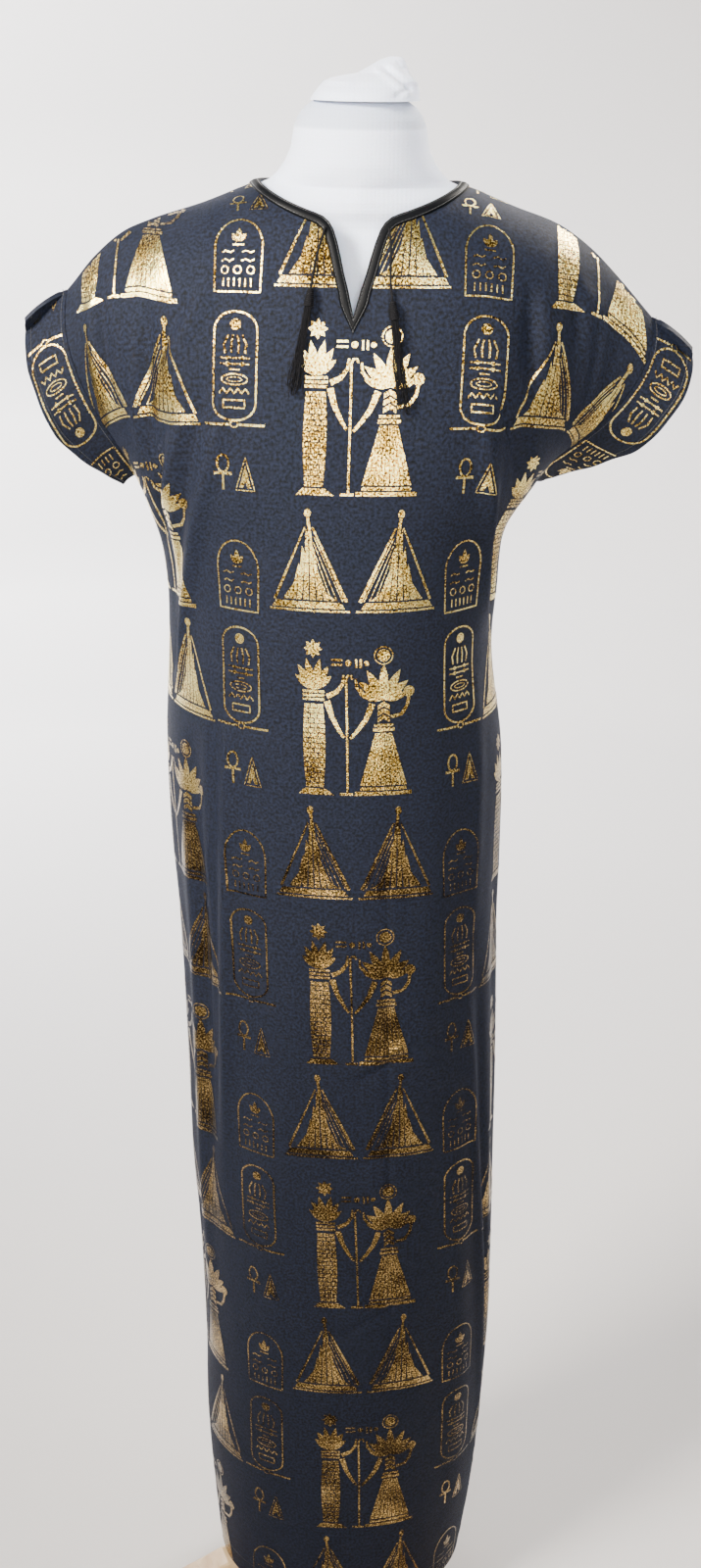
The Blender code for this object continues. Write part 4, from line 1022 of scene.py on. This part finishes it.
def standards_and_fans(u, foot):
    """Places of a pair of standards with two palm fans below it."""
    below = foot - FAN_BELOW
    return [("standards", u, foot), ("fan", u - FAN_AWAY, below), ("fan_turned", u + FAN_AWAY, below)]


def cut_off(points, faces, lines):
    """Cuts the flat print along straight lines: each has a place on it and the way that is cut away."""
    flat = bmesh.new()
    verts = [flat.verts.new((x, y, 0)) for x, y in points]
    for face in faces:
        flat.faces.new([verts[corner] for corner in face])
    for (u, v), (across, up) in lines:
        bmesh.ops.bisect_plane(flat, geom=flat.verts[:] + flat.edges[:] + flat.faces[:], plane_co=(u, v, 0),
                               plane_no=(across, up, 0), clear_outer=True)
    flat.verts.index_update()
    points = np.array([vert.co[:2] for vert in flat.verts])
    faces = [tuple(vert.index for vert in face.verts) for face in flat.faces]
    flat.free()
    return points, faces


def up_the_cloth(side, points):
    """Moves print from its distance up the cloth over the underarm to the cut's own heights."""
    length = lengths_along(hung[side][0][len(LOWER_V) - 1:])
    moved = points.copy()
    last = len(GRID_U) - 1
    column = np.clip((points[:, 0] + HALF_WIDTH) / (2 * HALF_WIDTH) * last, 0, last - 0.001)
    nearest = column.astype(int)
    over = points[:, 1] - UNDERARM
    for j in np.unique(nearest[over > 0]):
        here = (nearest == j) & (over > 0)
        share = column[here] - j
        line_length = [(1 - part) * length[:, j] + part * length[:, j + 1] for part in (0.0, 1.0)]
        both = [np.interp(over[here], of, UPPER_SHARE) + np.maximum(over[here] - of[-1], 0)
                for of in line_length]
        at = (1 - share) * both[0] + share * both[1]
        seam = shoulder_line(points[here, 0])
        moved[here, 1] = UNDERARM + np.minimum(at, 1) * (seam - UNDERARM) + np.maximum(at - 1, 0)
    return moved


def across_the_cloth(side, points):
    """Moves print from its distance across the cloth from the centre line to the cut's own place."""
    along = lengths_along(hung[side][0], axis=1)
    along -= along[:, len(GRID_U) // 2, None]
    u, v = points.T
    share = np.clip((v - UNDERARM) / (shoulder_line(np.clip(u, -HALF_WIDTH, HALF_WIDTH)) - UNDERARM), 0, 1)
    row = np.interp(v, LOWER_V, np.arange(len(LOWER_V))) + share * (len(UPPER_SHARE) - 1)
    below = np.minimum(row.astype(int), len(along) - 2)
    moved = points.copy()
    for j in np.unique(below):
        here = below == j
        both = [np.interp(u[here], line, GRID_U) + u[here] - np.clip(u[here], line[0], line[-1])
                for line in (along[j], along[j + 1])]
        part = row[here] - j
        moved[here, 0] = (1 - part) * both[0] + part * both[1]
    return moved


# The foil mirrors the room where it lies smooth. Fine noise breaks its colour into flecks: white ones that
# are painted glints, and dark ones that stand partly for gaps where the cloth shows and partly are painted
# dark reflections. Lower down it is painted darker as shade.
foil, tree, shader = new_material("gold_foil", Metallic=1.0)
cut_place = node(tree, "ShaderNodeUVMap", {"uv_map": "cut"}).outputs["UV"]
# fine flecks: the white ones are painted glints, the dark ones partly painted dark reflections and partly
# gaps where the cloth shows; the same noise also bumps the foil
crackle_and_glints = noise(tree, cut_place, 620, 3, Roughness=0.7)
patch = noise(tree, cut_place, 24, 3)
height = node(tree, "ShaderNodeSeparateXYZ", None, None, {0: cut_place}).outputs["Y"]
# mask of the painted shade: none at 1.00 m on the cut, full at 0.84 m and below
lower = scaled(tree, height, 1.00, 0.84, smooth=True)
# the shine drops a little lower down as painted shade, and moves up and down in random patches
shade_low_and_patches = node(tree, "ShaderNodeMath", {"operation": "MULTIPLY_ADD"}, {1: -0.03},
            {0: lower, 2: scaled(tree, patch, 0.3, 0.7, 0.08, -0.08)}).outputs["Value"]
shine = combined(tree, "ADD", crackle_and_glints, shade_low_and_patches)
lit_and_shaded_foil = []
# two copies of the foil's colour: the lit one, then a darker one that is painted shade
for tones in (((0.40, "#181004"), (0.455, "#6a4c18"), (0.50, "#dcae3e"), (0.57, "#fff4a6")),
              ((0.41, "#17110a"), (0.47, "#4a3a1e"), (0.53, "#80683a"), (0.64, "#d6b878"))):
    shade = node(tree, "ShaderNodeValToRGB", None, None, {"Fac": shine})
    for position, tone in tones:
        shade.color_ramp.elements.new(position).color = linear(tone)
    shade.color_ramp.elements.remove(shade.color_ramp.elements[0])
    shade.color_ramp.elements.remove(shade.color_ramp.elements[-1])
    lit_and_shaded_foil.append(shade.outputs["Color"])
# goes over from the lit copy to the painted shade lower down
foil_shaded_low = node(tree, "ShaderNodeMix", {"data_type": "RGBA"}, None, {0: lower, 6: lit_and_shaded_foil[0], 7: lit_and_shaded_foil[1]})
wrinkled = bump(tree, noise(tree, cut_place, 90, 3), 0.5, 0.0020)
drive(tree, shader, Base_Color=foil_shaded_low.outputs[2], Roughness=scaled(tree, patch, 0.3, 0.7, 0.20, 0.34),
      Normal=bump(tree, crackle_and_glints, 0.6, 0.0006, wrinkled))

for side, sign in (("front", 1), ("back", -1)):
    places = []
    for row in range(-1, 6):
        foot = PRINT_FOOT - PRINT_ROW * row
        middle = sign * PRINT_MIDDLE
        places += standards_and_fans(middle, foot)
        for away in (-1, 1):
            at = middle + away * FRAME_AWAY
            places += [("arch", at, foot + ARCH_ABOVE), ("oval", at, foot + OVAL_ABOVE), ("sign", at, foot)]
            places += standards_and_fans(middle + away * HALF_DROP_AWAY, foot - HALF_DROP)
    if side == "front":
        places += [("low_sign", PRINT_MIDDLE + away * FRAME_AWAY, LOW_SIGN_FOOT) for away in LOW_SIGNS_AWAY]
    printed, faces = flat_print(places)
    printed = up_the_cloth(side, printed)
    if side == "back":
        printed = across_the_cloth(side, printed)
    limits = [((0, HEM + BARE_HEM), (0, -1))]
    limits += [((away * (HALF_WIDTH - BARE_SEAM), 0), (away, 0)) for away in (1, -1)]
    limits += [((away * NECK_HALF, NECK_POINT - BARE_SEAM), (away * SHOULDER_FALL, 1.0)) for away in (1, -1)]
    points, faces = cut_off(printed, faces, limits)
    edge = front_top if side == "front" else back_top
    hidden = points[:, 1] > edge(points[:, 0]) - BARE_NECK
    faces = [face for face in faces if not any(hidden[corner] for corner in face)]
    placed, _ = cloth(side, points[:, 0], points[:, 1], FOIL_LIFT)
    facing = faces if side == "front" else [face[::-1] for face in faces]
    item = make_mesh(f"foil_{side}", placed, facing, foil, points)

# The bands are cut across the print, so a column of frames and signs runs round each arm.
# Where its first oval stands, round from the fold line
BAND_PRINTS = {"left": 0.040, "right": 0.020}
BAND_ARCH, BAND_SIGN = 0.104, 0.205
for side_name, (outer, outward, width) in bands.items():
    sign = BANDS[side_name][0]
    around = lengths_round(outer[0])
    places = []
    for row in range(-2, 3):
        start = BAND_PRINTS[side_name] + row * PRINT_ROW
        places += [("oval", 0, start), ("arch", 0, start + BAND_ARCH), ("sign", 0, start + BAND_SIGN)]
    limits = [((0, way * around[-1] / 2), (0, way)) for way in (-1, 1)]
    points, faces = cut_off(*flat_print(places), limits)
    # up the print runs round the arm from the fold line, and across it runs across the band
    across = BAND_WIDTH / 2 + sign * points[:, 0]
    column = np.interp(np.mod(points[:, 1], around[-1]), around, np.arange(len(around)))
    limit = np.interp(column, np.arange(len(around)), np.append(width, width[0]))
    hidden = (across > limit - BARE_BAND) | (across < BARE_BAND)
    faces = [face for face in faces if not any(hidden[corner] for corner in face)]
    row = np.clip(across / limit, 0, 1) * BAND_RINGS
    closed = [np.concatenate([grid, grid[:, :1]], axis=1) for grid in (outer, outward)]
    placed, normal = (on_grid(grid, row, column) for grid in closed)
    item = make_mesh(f"foil_band_{side_name}", placed + unit(normal) * FOIL_LIFT, faces, foil,
                     points + (0, NECK_POINT))

# Seams and edges are stitched by machine with black polyester thread, ten stitches in three centimetres.
# One set of nodes lays the stitches along a path; each row is then kept as a plain mesh.
STITCH_PITCH = 0.003
STITCH_LENGTH = 0.0023
THREAD_THICK = 0.00022
THREAD_OUT = 0.6
HEM_DEEP = 0.020
HEM_STITCH_POINTS = 240
# Rows on the binding: name, distance from the neck edge; and their height over the cloth
BINDING_STITCHES = (("outer", 0.0066), ("inner", 0.0015))
ON_BINDING = 0.00125
thread_look = new_material("sewing_thread", Roughness=0.5, Sheen_Weight=0.3, Base_Color="#111318")[0]

stitcher = bpy.data.node_groups.new("stitch_row", "GeometryNodeTree")
ends = {name: stitcher.interface.new_socket(name, in_out=way, socket_type=kind) for name, way, kind in (
    ("Path", "INPUT", "NodeSocketGeometry"), ("Pitch", "INPUT", "NodeSocketFloat"),
    ("Stitch length", "INPUT", "NodeSocketFloat"), ("Thread radius", "INPUT", "NodeSocketFloat"),
    ("Thread", "INPUT", "NodeSocketMaterial"), ("Stitches", "OUTPUT", "NodeSocketGeometry"))}
given = node(stitcher, "NodeGroupInput")
path_curve = node(stitcher, "GeometryNodeMeshToCurve", None, None, {"Mesh": given.outputs["Path"]})
spaced = node(stitcher, "GeometryNodeResampleCurve", {"mode": "LENGTH"}, None,
              {"Curve": path_curve.outputs["Curve"], "Length": given.outputs["Pitch"]})
one = node(stitcher, "GeometryNodeMeshCylinder", None, {"Vertices": 6},
           {"Radius": given.outputs["Thread radius"], "Depth": given.outputs["Stitch length"]})
tangent = node(stitcher, "GeometryNodeInputTangent")
aligned = node(stitcher, "FunctionNodeAlignRotationToVector", {"axis": "Z"}, None,
               {"Vector": tangent.outputs["Tangent"]})
placed = node(stitcher, "GeometryNodeInstanceOnPoints", None, None,
              {"Points": spaced.outputs["Curve"], "Instance": one.outputs["Mesh"],
               "Rotation": aligned.outputs["Rotation"]})
real = node(stitcher, "GeometryNodeRealizeInstances", None, None, {"Geometry": placed.outputs["Instances"]})
coloured = node(stitcher, "GeometryNodeSetMaterial", None, None,
                {"Geometry": real.outputs["Geometry"], "Material": given.outputs["Thread"]})
node(stitcher, "NodeGroupOutput", None, None, {"Stitches": coloured.outputs["Geometry"]})


def stitch_row(name, points):
    """Stitches along a path, as a mesh of their own."""
    row = bpy.data.meshes.new(name)
    row.from_pydata((np.asarray(points) - ORIGIN).tolist(), [(i, i + 1) for i in range(len(points) - 1)], [])
    path_item = bpy.data.objects.new(name + "_path", row)
    bpy.context.scene.collection.objects.link(path_item)
    laid = path_item.modifiers.new("stitches", "NODES")
    laid.node_group = stitcher
    for socket, value in (("Pitch", STITCH_PITCH), ("Stitch length", STITCH_LENGTH),
                          ("Thread radius", THREAD_THICK), ("Thread", thread_look)):
        laid[ends[socket].identifier] = value
    evaluated = path_item.evaluated_get(bpy.context.evaluated_depsgraph_get())
    mesh = bpy.data.meshes.new_from_object(evaluated)
    bpy.data.objects.remove(path_item)
    bpy.data.meshes.remove(row)
    item = bpy.data.objects.new(name, mesh)
    bpy.context.scene.collection.objects.link(item)
    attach(item, "root")


for name, inset in BINDING_STITCHES:
    stitch_row(f"binding_stitches_{name}", neck_line(inset, ON_BINDING))
for side_name, (outer, outward, _) in bands.items():
    for name, ring_number in (("seam", 1), ("hem", BAND_RINGS - 2)):
        ring = outer[ring_number] + outward[ring_number] * THREAD_THICK * THREAD_OUT
        stitch_row(f"band_{side_name}_{name}_stitches", np.concatenate([ring, ring[:1]]))
across = np.linspace(BARE_SEAM - HALF_WIDTH, HALF_WIDTH - BARE_SEAM, HEM_STITCH_POINTS)
for side in ("front", "back"):
    ring, _ = cloth(side, across, HEM + HEM_DEEP, THREAD_THICK * THREAD_OUT)
    stitch_row(f"hem_{side}_stitches", ring)

# The form is a padded limbless torso. A white knit cover is pulled over it and gathered above the neck,
# where its end is folded down to the front and knotted towards the right.
# Columns: height, half_width, front, back
TORSO = (
    (0.620, 0.070, 0.050, 0.050),
    (0.626, 0.092, 0.065, 0.064),
    (0.644, 0.111, 0.077, 0.076),
    (0.680, 0.122, 0.084, 0.084),
    (0.740, 0.125, 0.086, 0.087),
    (0.800, 0.121, 0.083, 0.084),
    (0.880, 0.109, 0.075, 0.075),
    (0.950, 0.103, 0.070, 0.068),
    (1.020, 0.106, 0.078, 0.069),
    (1.090, 0.112, 0.093, 0.075),
    (1.150, 0.116, 0.099, 0.079),
    (1.210, 0.124, 0.096, 0.081),
    (1.260, 0.137, 0.088, 0.080),
    (1.300, 0.152, 0.079, 0.075),
    (1.330, 0.163, 0.070, 0.068),
    (1.350, 0.168, 0.062, 0.061),
)
# Under the fold line. Columns: half_width, front, back, power of the outline
SHOULDER = (
    (0.160, 0.049, 0.048, 1.75),
    (0.146, 0.050, 0.049, 1.60),
    (0.125, 0.054, 0.052, 1.45),
    (0.105, 0.054, 0.051, 1.45),
    (0.093, 0.052, 0.049, 1.45),
    (0.080, 0.050, 0.047, 1.45),
)
# Columns: height, half_width, front, back, power of the outline
NECK = (
    (1.4050, 0.0725, 0.0510, 0.0475, 1.60),
    (1.4110, 0.0660, 0.0525, 0.0490, 1.80),
    (1.4190, 0.0600, 0.0540, 0.0510, 1.90),
    (1.4300, 0.0552, 0.0530, 0.0525, 2.0),
    (1.4450, 0.0530, 0.0515, 0.0515, 2.0),
    (1.4530, 0.0500, 0.0490, 0.0490, 2.0),
    (1.4610, 0.0440, 0.0430, 0.0430, 2.0),
    (1.4655, 0.0370, 0.0360, 0.0360, 2.0),
)
CARRIED = 0.0020
FORM_FINER = 4
FORM_TURNS = 112
knit, tree, shader = new_material("white_knit", Roughness=0.85, Sheen_Weight=0.35, Sheen_Roughness=0.5,
                                  Subsurface_Weight=0.08)
place = node(tree, "ShaderNodeTexCoord").outputs["Object"]
loops = combined(tree, "MULTIPLY", waves(tree, place, "X", 90, 1.2, 2), waves(tree, place, "Z", 120, 1.0, 2))
# over the neck's rounded top, just under the folded flap, a grey-blue band of painted shade darkens the knit
level = node(tree, "ShaderNodeSeparateXYZ", None, None, {0: place}).outputs["Z"]
# mask of the painted shade, from 1.4440 m up to the flap at 1.4658 m
shade_under_flap = combined(tree, "MULTIPLY", scaled(tree, level, 1.4440, 1.4475, smooth=True),
                scaled(tree, level, 1.4656, 1.4658, 1.0, 0.0, smooth=True))
# the knit's colour with the painted shade mixed in
knit_with_shade = node(tree, "ShaderNodeMix", {"data_type": "RGBA"}, {7: linear("#b4bdcf")},
              {0: shade_under_flap, 6: two_tones(tree, noise(tree, place, 700, 3), "#d3dae9", "#dbe4fb")})
drive(tree, shader, Base_Color=knit_with_shade.outputs[2], Normal=bump(tree, loops, 0.4, 0.0004))


def shoulder_height(half_width):
    """Height of the form's shoulder, just under the fold line that it carries."""
    _, *ends = np.transpose(RIDGE)
    return min(float(np.interp(half_width, ends[i], ends[i + 1])) for i in (0, 2)) - CARRIED


def between_rows(table, finer):
    """Even places between a table's rows, and each of its columns there."""
    at = np.linspace(0, len(table) - 1, (len(table) - 1) * finer + 1)
    return at, [np.interp(at, np.arange(len(table)), column)[:, None] for column in np.transpose(table)]


def loft(name, rings, look):
    """A smooth closed body through rings of places."""
    item = make_mesh(name, rings, ring_faces(*rings.shape[:2]), look)
    finish_solid(item, sharp_from=60)
    return item


form_rows = [row + (2.0,) for row in TORSO]
form_rows += [(shoulder_height(row[0]),) + row for row in SHOULDER]
_, (height, half_width, front, back, power) = between_rows(form_rows + list(NECK), FORM_FINER)
turn = np.linspace(0, 2 * math.pi, FORM_TURNS, endpoint=False)[None, :]
sine, cosine = np.sin(turn), np.cos(turn)
x = half_width * np.sign(sine) * np.abs(sine) ** (2 / power)
y = -np.where(cosine > 0, front, back) * np.sign(cosine) * np.abs(cosine) ** (2 / power)
form = loft("form_knit_cover", np.stack([x, y, np.broadcast_to(height, x.shape)], axis=-1), knit)
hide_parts("form_torso")

# The open end of the cover is folded forward over the neck, where it lies as a flap with a sharp lower fold.
# At the right it is bunched to a peak and tucked in, and creases run down from the peak to the tuck.
# Columns: height, centre_x, centre_y, half_width, half_depth
COVER_END = (
    (1.4658, 0.0000, -0.004, 0.0330, 0.0320),
    (1.4662, 0.0034, -0.007, 0.0435, 0.0390),
    (1.4740, 0.0050, -0.005, 0.0395, 0.0360),
    (1.4800, 0.0065, -0.003, 0.0355, 0.0320),
    (1.4830, 0.0112, -0.001, 0.0292, 0.0280),
    (1.4860, 0.0180, 0.001, 0.0210, 0.0230),
    (1.4920, 0.0220, 0.003, 0.0140, 0.0170),
    (1.4960, 0.0245, 0.004, 0.0095, 0.0110),
    (1.4983, 0.0265, 0.004, 0.0045, 0.0055),
)
# Creases of the end. Columns: start_x, start_height, end_x, end_height, half_width, lift
END_CREASES = (
    (0.0100, 1.4910, 0.0390, 1.4700, 0.0022, 0.0020),
    (0.0155, 1.4920, 0.0420, 1.4735, 0.0018, -0.0020),
    (0.0200, 1.4950, 0.0440, 1.4760, 0.0018, 0.0016),
    (0.0270, 1.4960, 0.0450, 1.4800, 0.0016, -0.0014),
    (0.0340, 1.4900, 0.0480, 1.4690, 0.0020, 0.0014),
    (-0.0270, 1.4815, -0.0050, 1.4835, 0.0020, 0.0012),
    (-0.0080, 1.4790, 0.0120, 1.4880, 0.0026, -0.0014),
    (-0.0340, 1.4720, 0.0260, 1.4690, 0.0040, 0.0010),
    (0.0260, 1.4690, 0.0400, 1.4780, 0.0022, -0.0016),
)
END_FINER = 8
END_TURNS = 120
at, (height, centre_x, centre_y, half_width, half_depth) = between_rows(COVER_END, END_FINER)
turn = np.linspace(0, 2 * math.pi, END_TURNS, endpoint=False)[None, :]
end_places = np.stack([centre_x + half_width * np.sin(turn), centre_y - half_depth * np.cos(turn),
                       np.broadcast_to(height, (len(at), END_TURNS))], axis=-1)
out_from = unit(np.stack([np.sin(turn) / half_width, -np.cos(turn) / half_depth,
                          np.broadcast_to(8 + 0 * half_width, (len(at), END_TURNS))], axis=-1))
lift = np.zeros(end_places.shape[:2])
for start_x, start_height, end_x, end_height, half, size in END_CREASES:
    way = np.array([end_x - start_x, end_height - start_height])
    long = float(np.linalg.norm(way))
    from_start = end_places[..., (0, 2)] - (start_x, start_height)
    along = np.clip(from_start @ way / long ** 2, 0, 1)
    away = np.linalg.norm(from_start - along[..., None] * way, axis=-1)
    lift += size * np.exp(-(away / half) ** 2) * ease(np.minimum(along, 1 - along) * 5 + 0.25)
# the back has softer folds that wind round it, and the lowest rows keep their sharp edge
behind = ease((end_places[..., 1] - 0.004) / 0.012)
wound = 0.0010 * np.sin(5 * turn + 260 * (end_places[..., 2] - COVER_END[0][0]))
lift = (lift * (1 - behind) + wound * behind) * ease((at[:, None] - 1) / 0.6)
cover_end = loft("form_cover_end_knit", end_places + out_from * lift[..., None], knit)
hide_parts("form_cover_end")

# Stand: a pale wooden hub and three legs, with a steel pole up into the form.
# The legs are cut from pine board and clear lacquered.
pine, tree, shader = new_material("lacquered_pine", Roughness=0.38, Coat_Weight=0.3)
place = node(tree, "ShaderNodeTexCoord").outputs["Object"]
stretched = node(tree, "ShaderNodeMapping", None, {"Scale": (9.0, 9.0, 60.0)}, {"Vector": place})
grain = noise(tree, stretched.outputs["Vector"], 4.0, 5, Distortion=0.8)
drive(tree, shader, Base_Color=two_tones(tree, grain, "#c39a66", "#e3c596", 0.3, 0.7))
steel, tree, shader = new_material("brushed_steel", Metallic=1.0, Roughness=0.32)
place = node(tree, "ShaderNodeTexCoord").outputs["Object"]
drive(tree, shader, Base_Color=two_tones(tree, noise(tree, place, 300, 2), "#8c8e92", "#b2b4b8"))
for name in ("pole", "hub", "leg_1", "leg_2", "leg_3"):
    bpy.data.objects[f"stand_{name}"].material_slots[0].material = steel if name == "pole" else pine

# A plain pale floor that sweeps up all round, well clear of the form, and soft studio light.
# Columns: distance from the middle, height
SWEEP = ((1.9, 0.0), (2.6, 0.05), (3.1, 0.25), (3.4, 0.65), (3.5, 1.2), (3.5, 3.8))
SWEEP_SIDES = 96
SWEEP_STEP = 0.1
paper = new_material("pale_paper", Roughness=0.9, Base_Color="#dfdcda")[0]
sweep_rows = resample(SWEEP, SWEEP_STEP)
turns = [2 * math.pi * i / SWEEP_SIDES for i in range(SWEEP_SIDES)]
sweep_faces = [tuple(range(SWEEP_SIDES))]
for i in range(len(sweep_rows) - 1):
    for j in range(SWEEP_SIDES):
        near, far = i * SWEEP_SIDES, (i + 1) * SWEEP_SIDES
        k = (j + 1) % SWEEP_SIDES
        sweep_faces.append((near + j, far + j, far + k, near + k))
sweep_mesh = bpy.data.meshes.new("floor")
sweep_mesh.from_pydata([(r * math.cos(a), r * math.sin(a), z) for r, z in sweep_rows for a in turns], [],
                       sweep_faces)
sweep_mesh.materials.append(paper)
sweep_mesh.shade_smooth()
floor = bpy.data.objects.new("floor", sweep_mesh)
bpy.context.scene.collection.objects.link(floor)


def soft_light(name, place, target, size, watts, colour, spread=180):
    """A rectangular area light that faces a place; a narrow spread keeps it off the floor."""
    made = bpy.data.lights.new(name, "AREA")
    made.shape = "RECTANGLE"
    made.size, made.size_y = size
    made.energy = watts
    made.color = linear(colour)[:3]
    made.spread = math.radians(spread)
    item = bpy.data.objects.new(name, made)
    item.location = place
    item.rotation_euler = (Vector(target) - Vector(place)).to_track_quat("-Z", "Y").to_euler()
    item.visible_camera = False
    bpy.context.scene.collection.objects.link(item)


soft_light("key", (-2.0, -1.7, 2.7), (0.0, 0.0, 1.32), (1.0, 1.0), 40, "#fff8ee", 52)
soft_light("front", (0.3, -2.7, 2.2), (0.0, 0.0, 1.42), (0.9, 0.9), 5, "#ffffff", 44)
soft_light("front_panel", (0.0, -3.2, 0.75), (0.0, 0.0, 1.45), (2.6, 1.4), 18, "#fff4dc", 52)
soft_light("side", (2.2, -0.6, 2.0), (0.0, 0.0, 1.25), (0.9, 0.9), 2, "#eaf1ff", 60)
soft_light("back_panel", (0.0, 3.2, 0.85), (0.0, 0.0, 1.3), (2.6, 1.6), 14, "#fff4dc", 60)
soft_light("behind", (1.6, 1.9, 2.6), (0.0, 0.0, 1.2), (1.2, 1.2), 26, "#fff8ee", 60)
soft_light("backdrop", (-1.8, 1.9, 3.3), (-1.5, 3.3, 0.5), (1.8, 0.8), 230, "#fbfcff", 110)
world = bpy.data.worlds.new("room")
bpy.context.scene.world = world
world.use_nodes = True
sky = world.node_tree.nodes["Background"]
sky.inputs["Color"].default_value = linear("#dde2ee")
sky.inputs["Strength"].default_value = 0.42
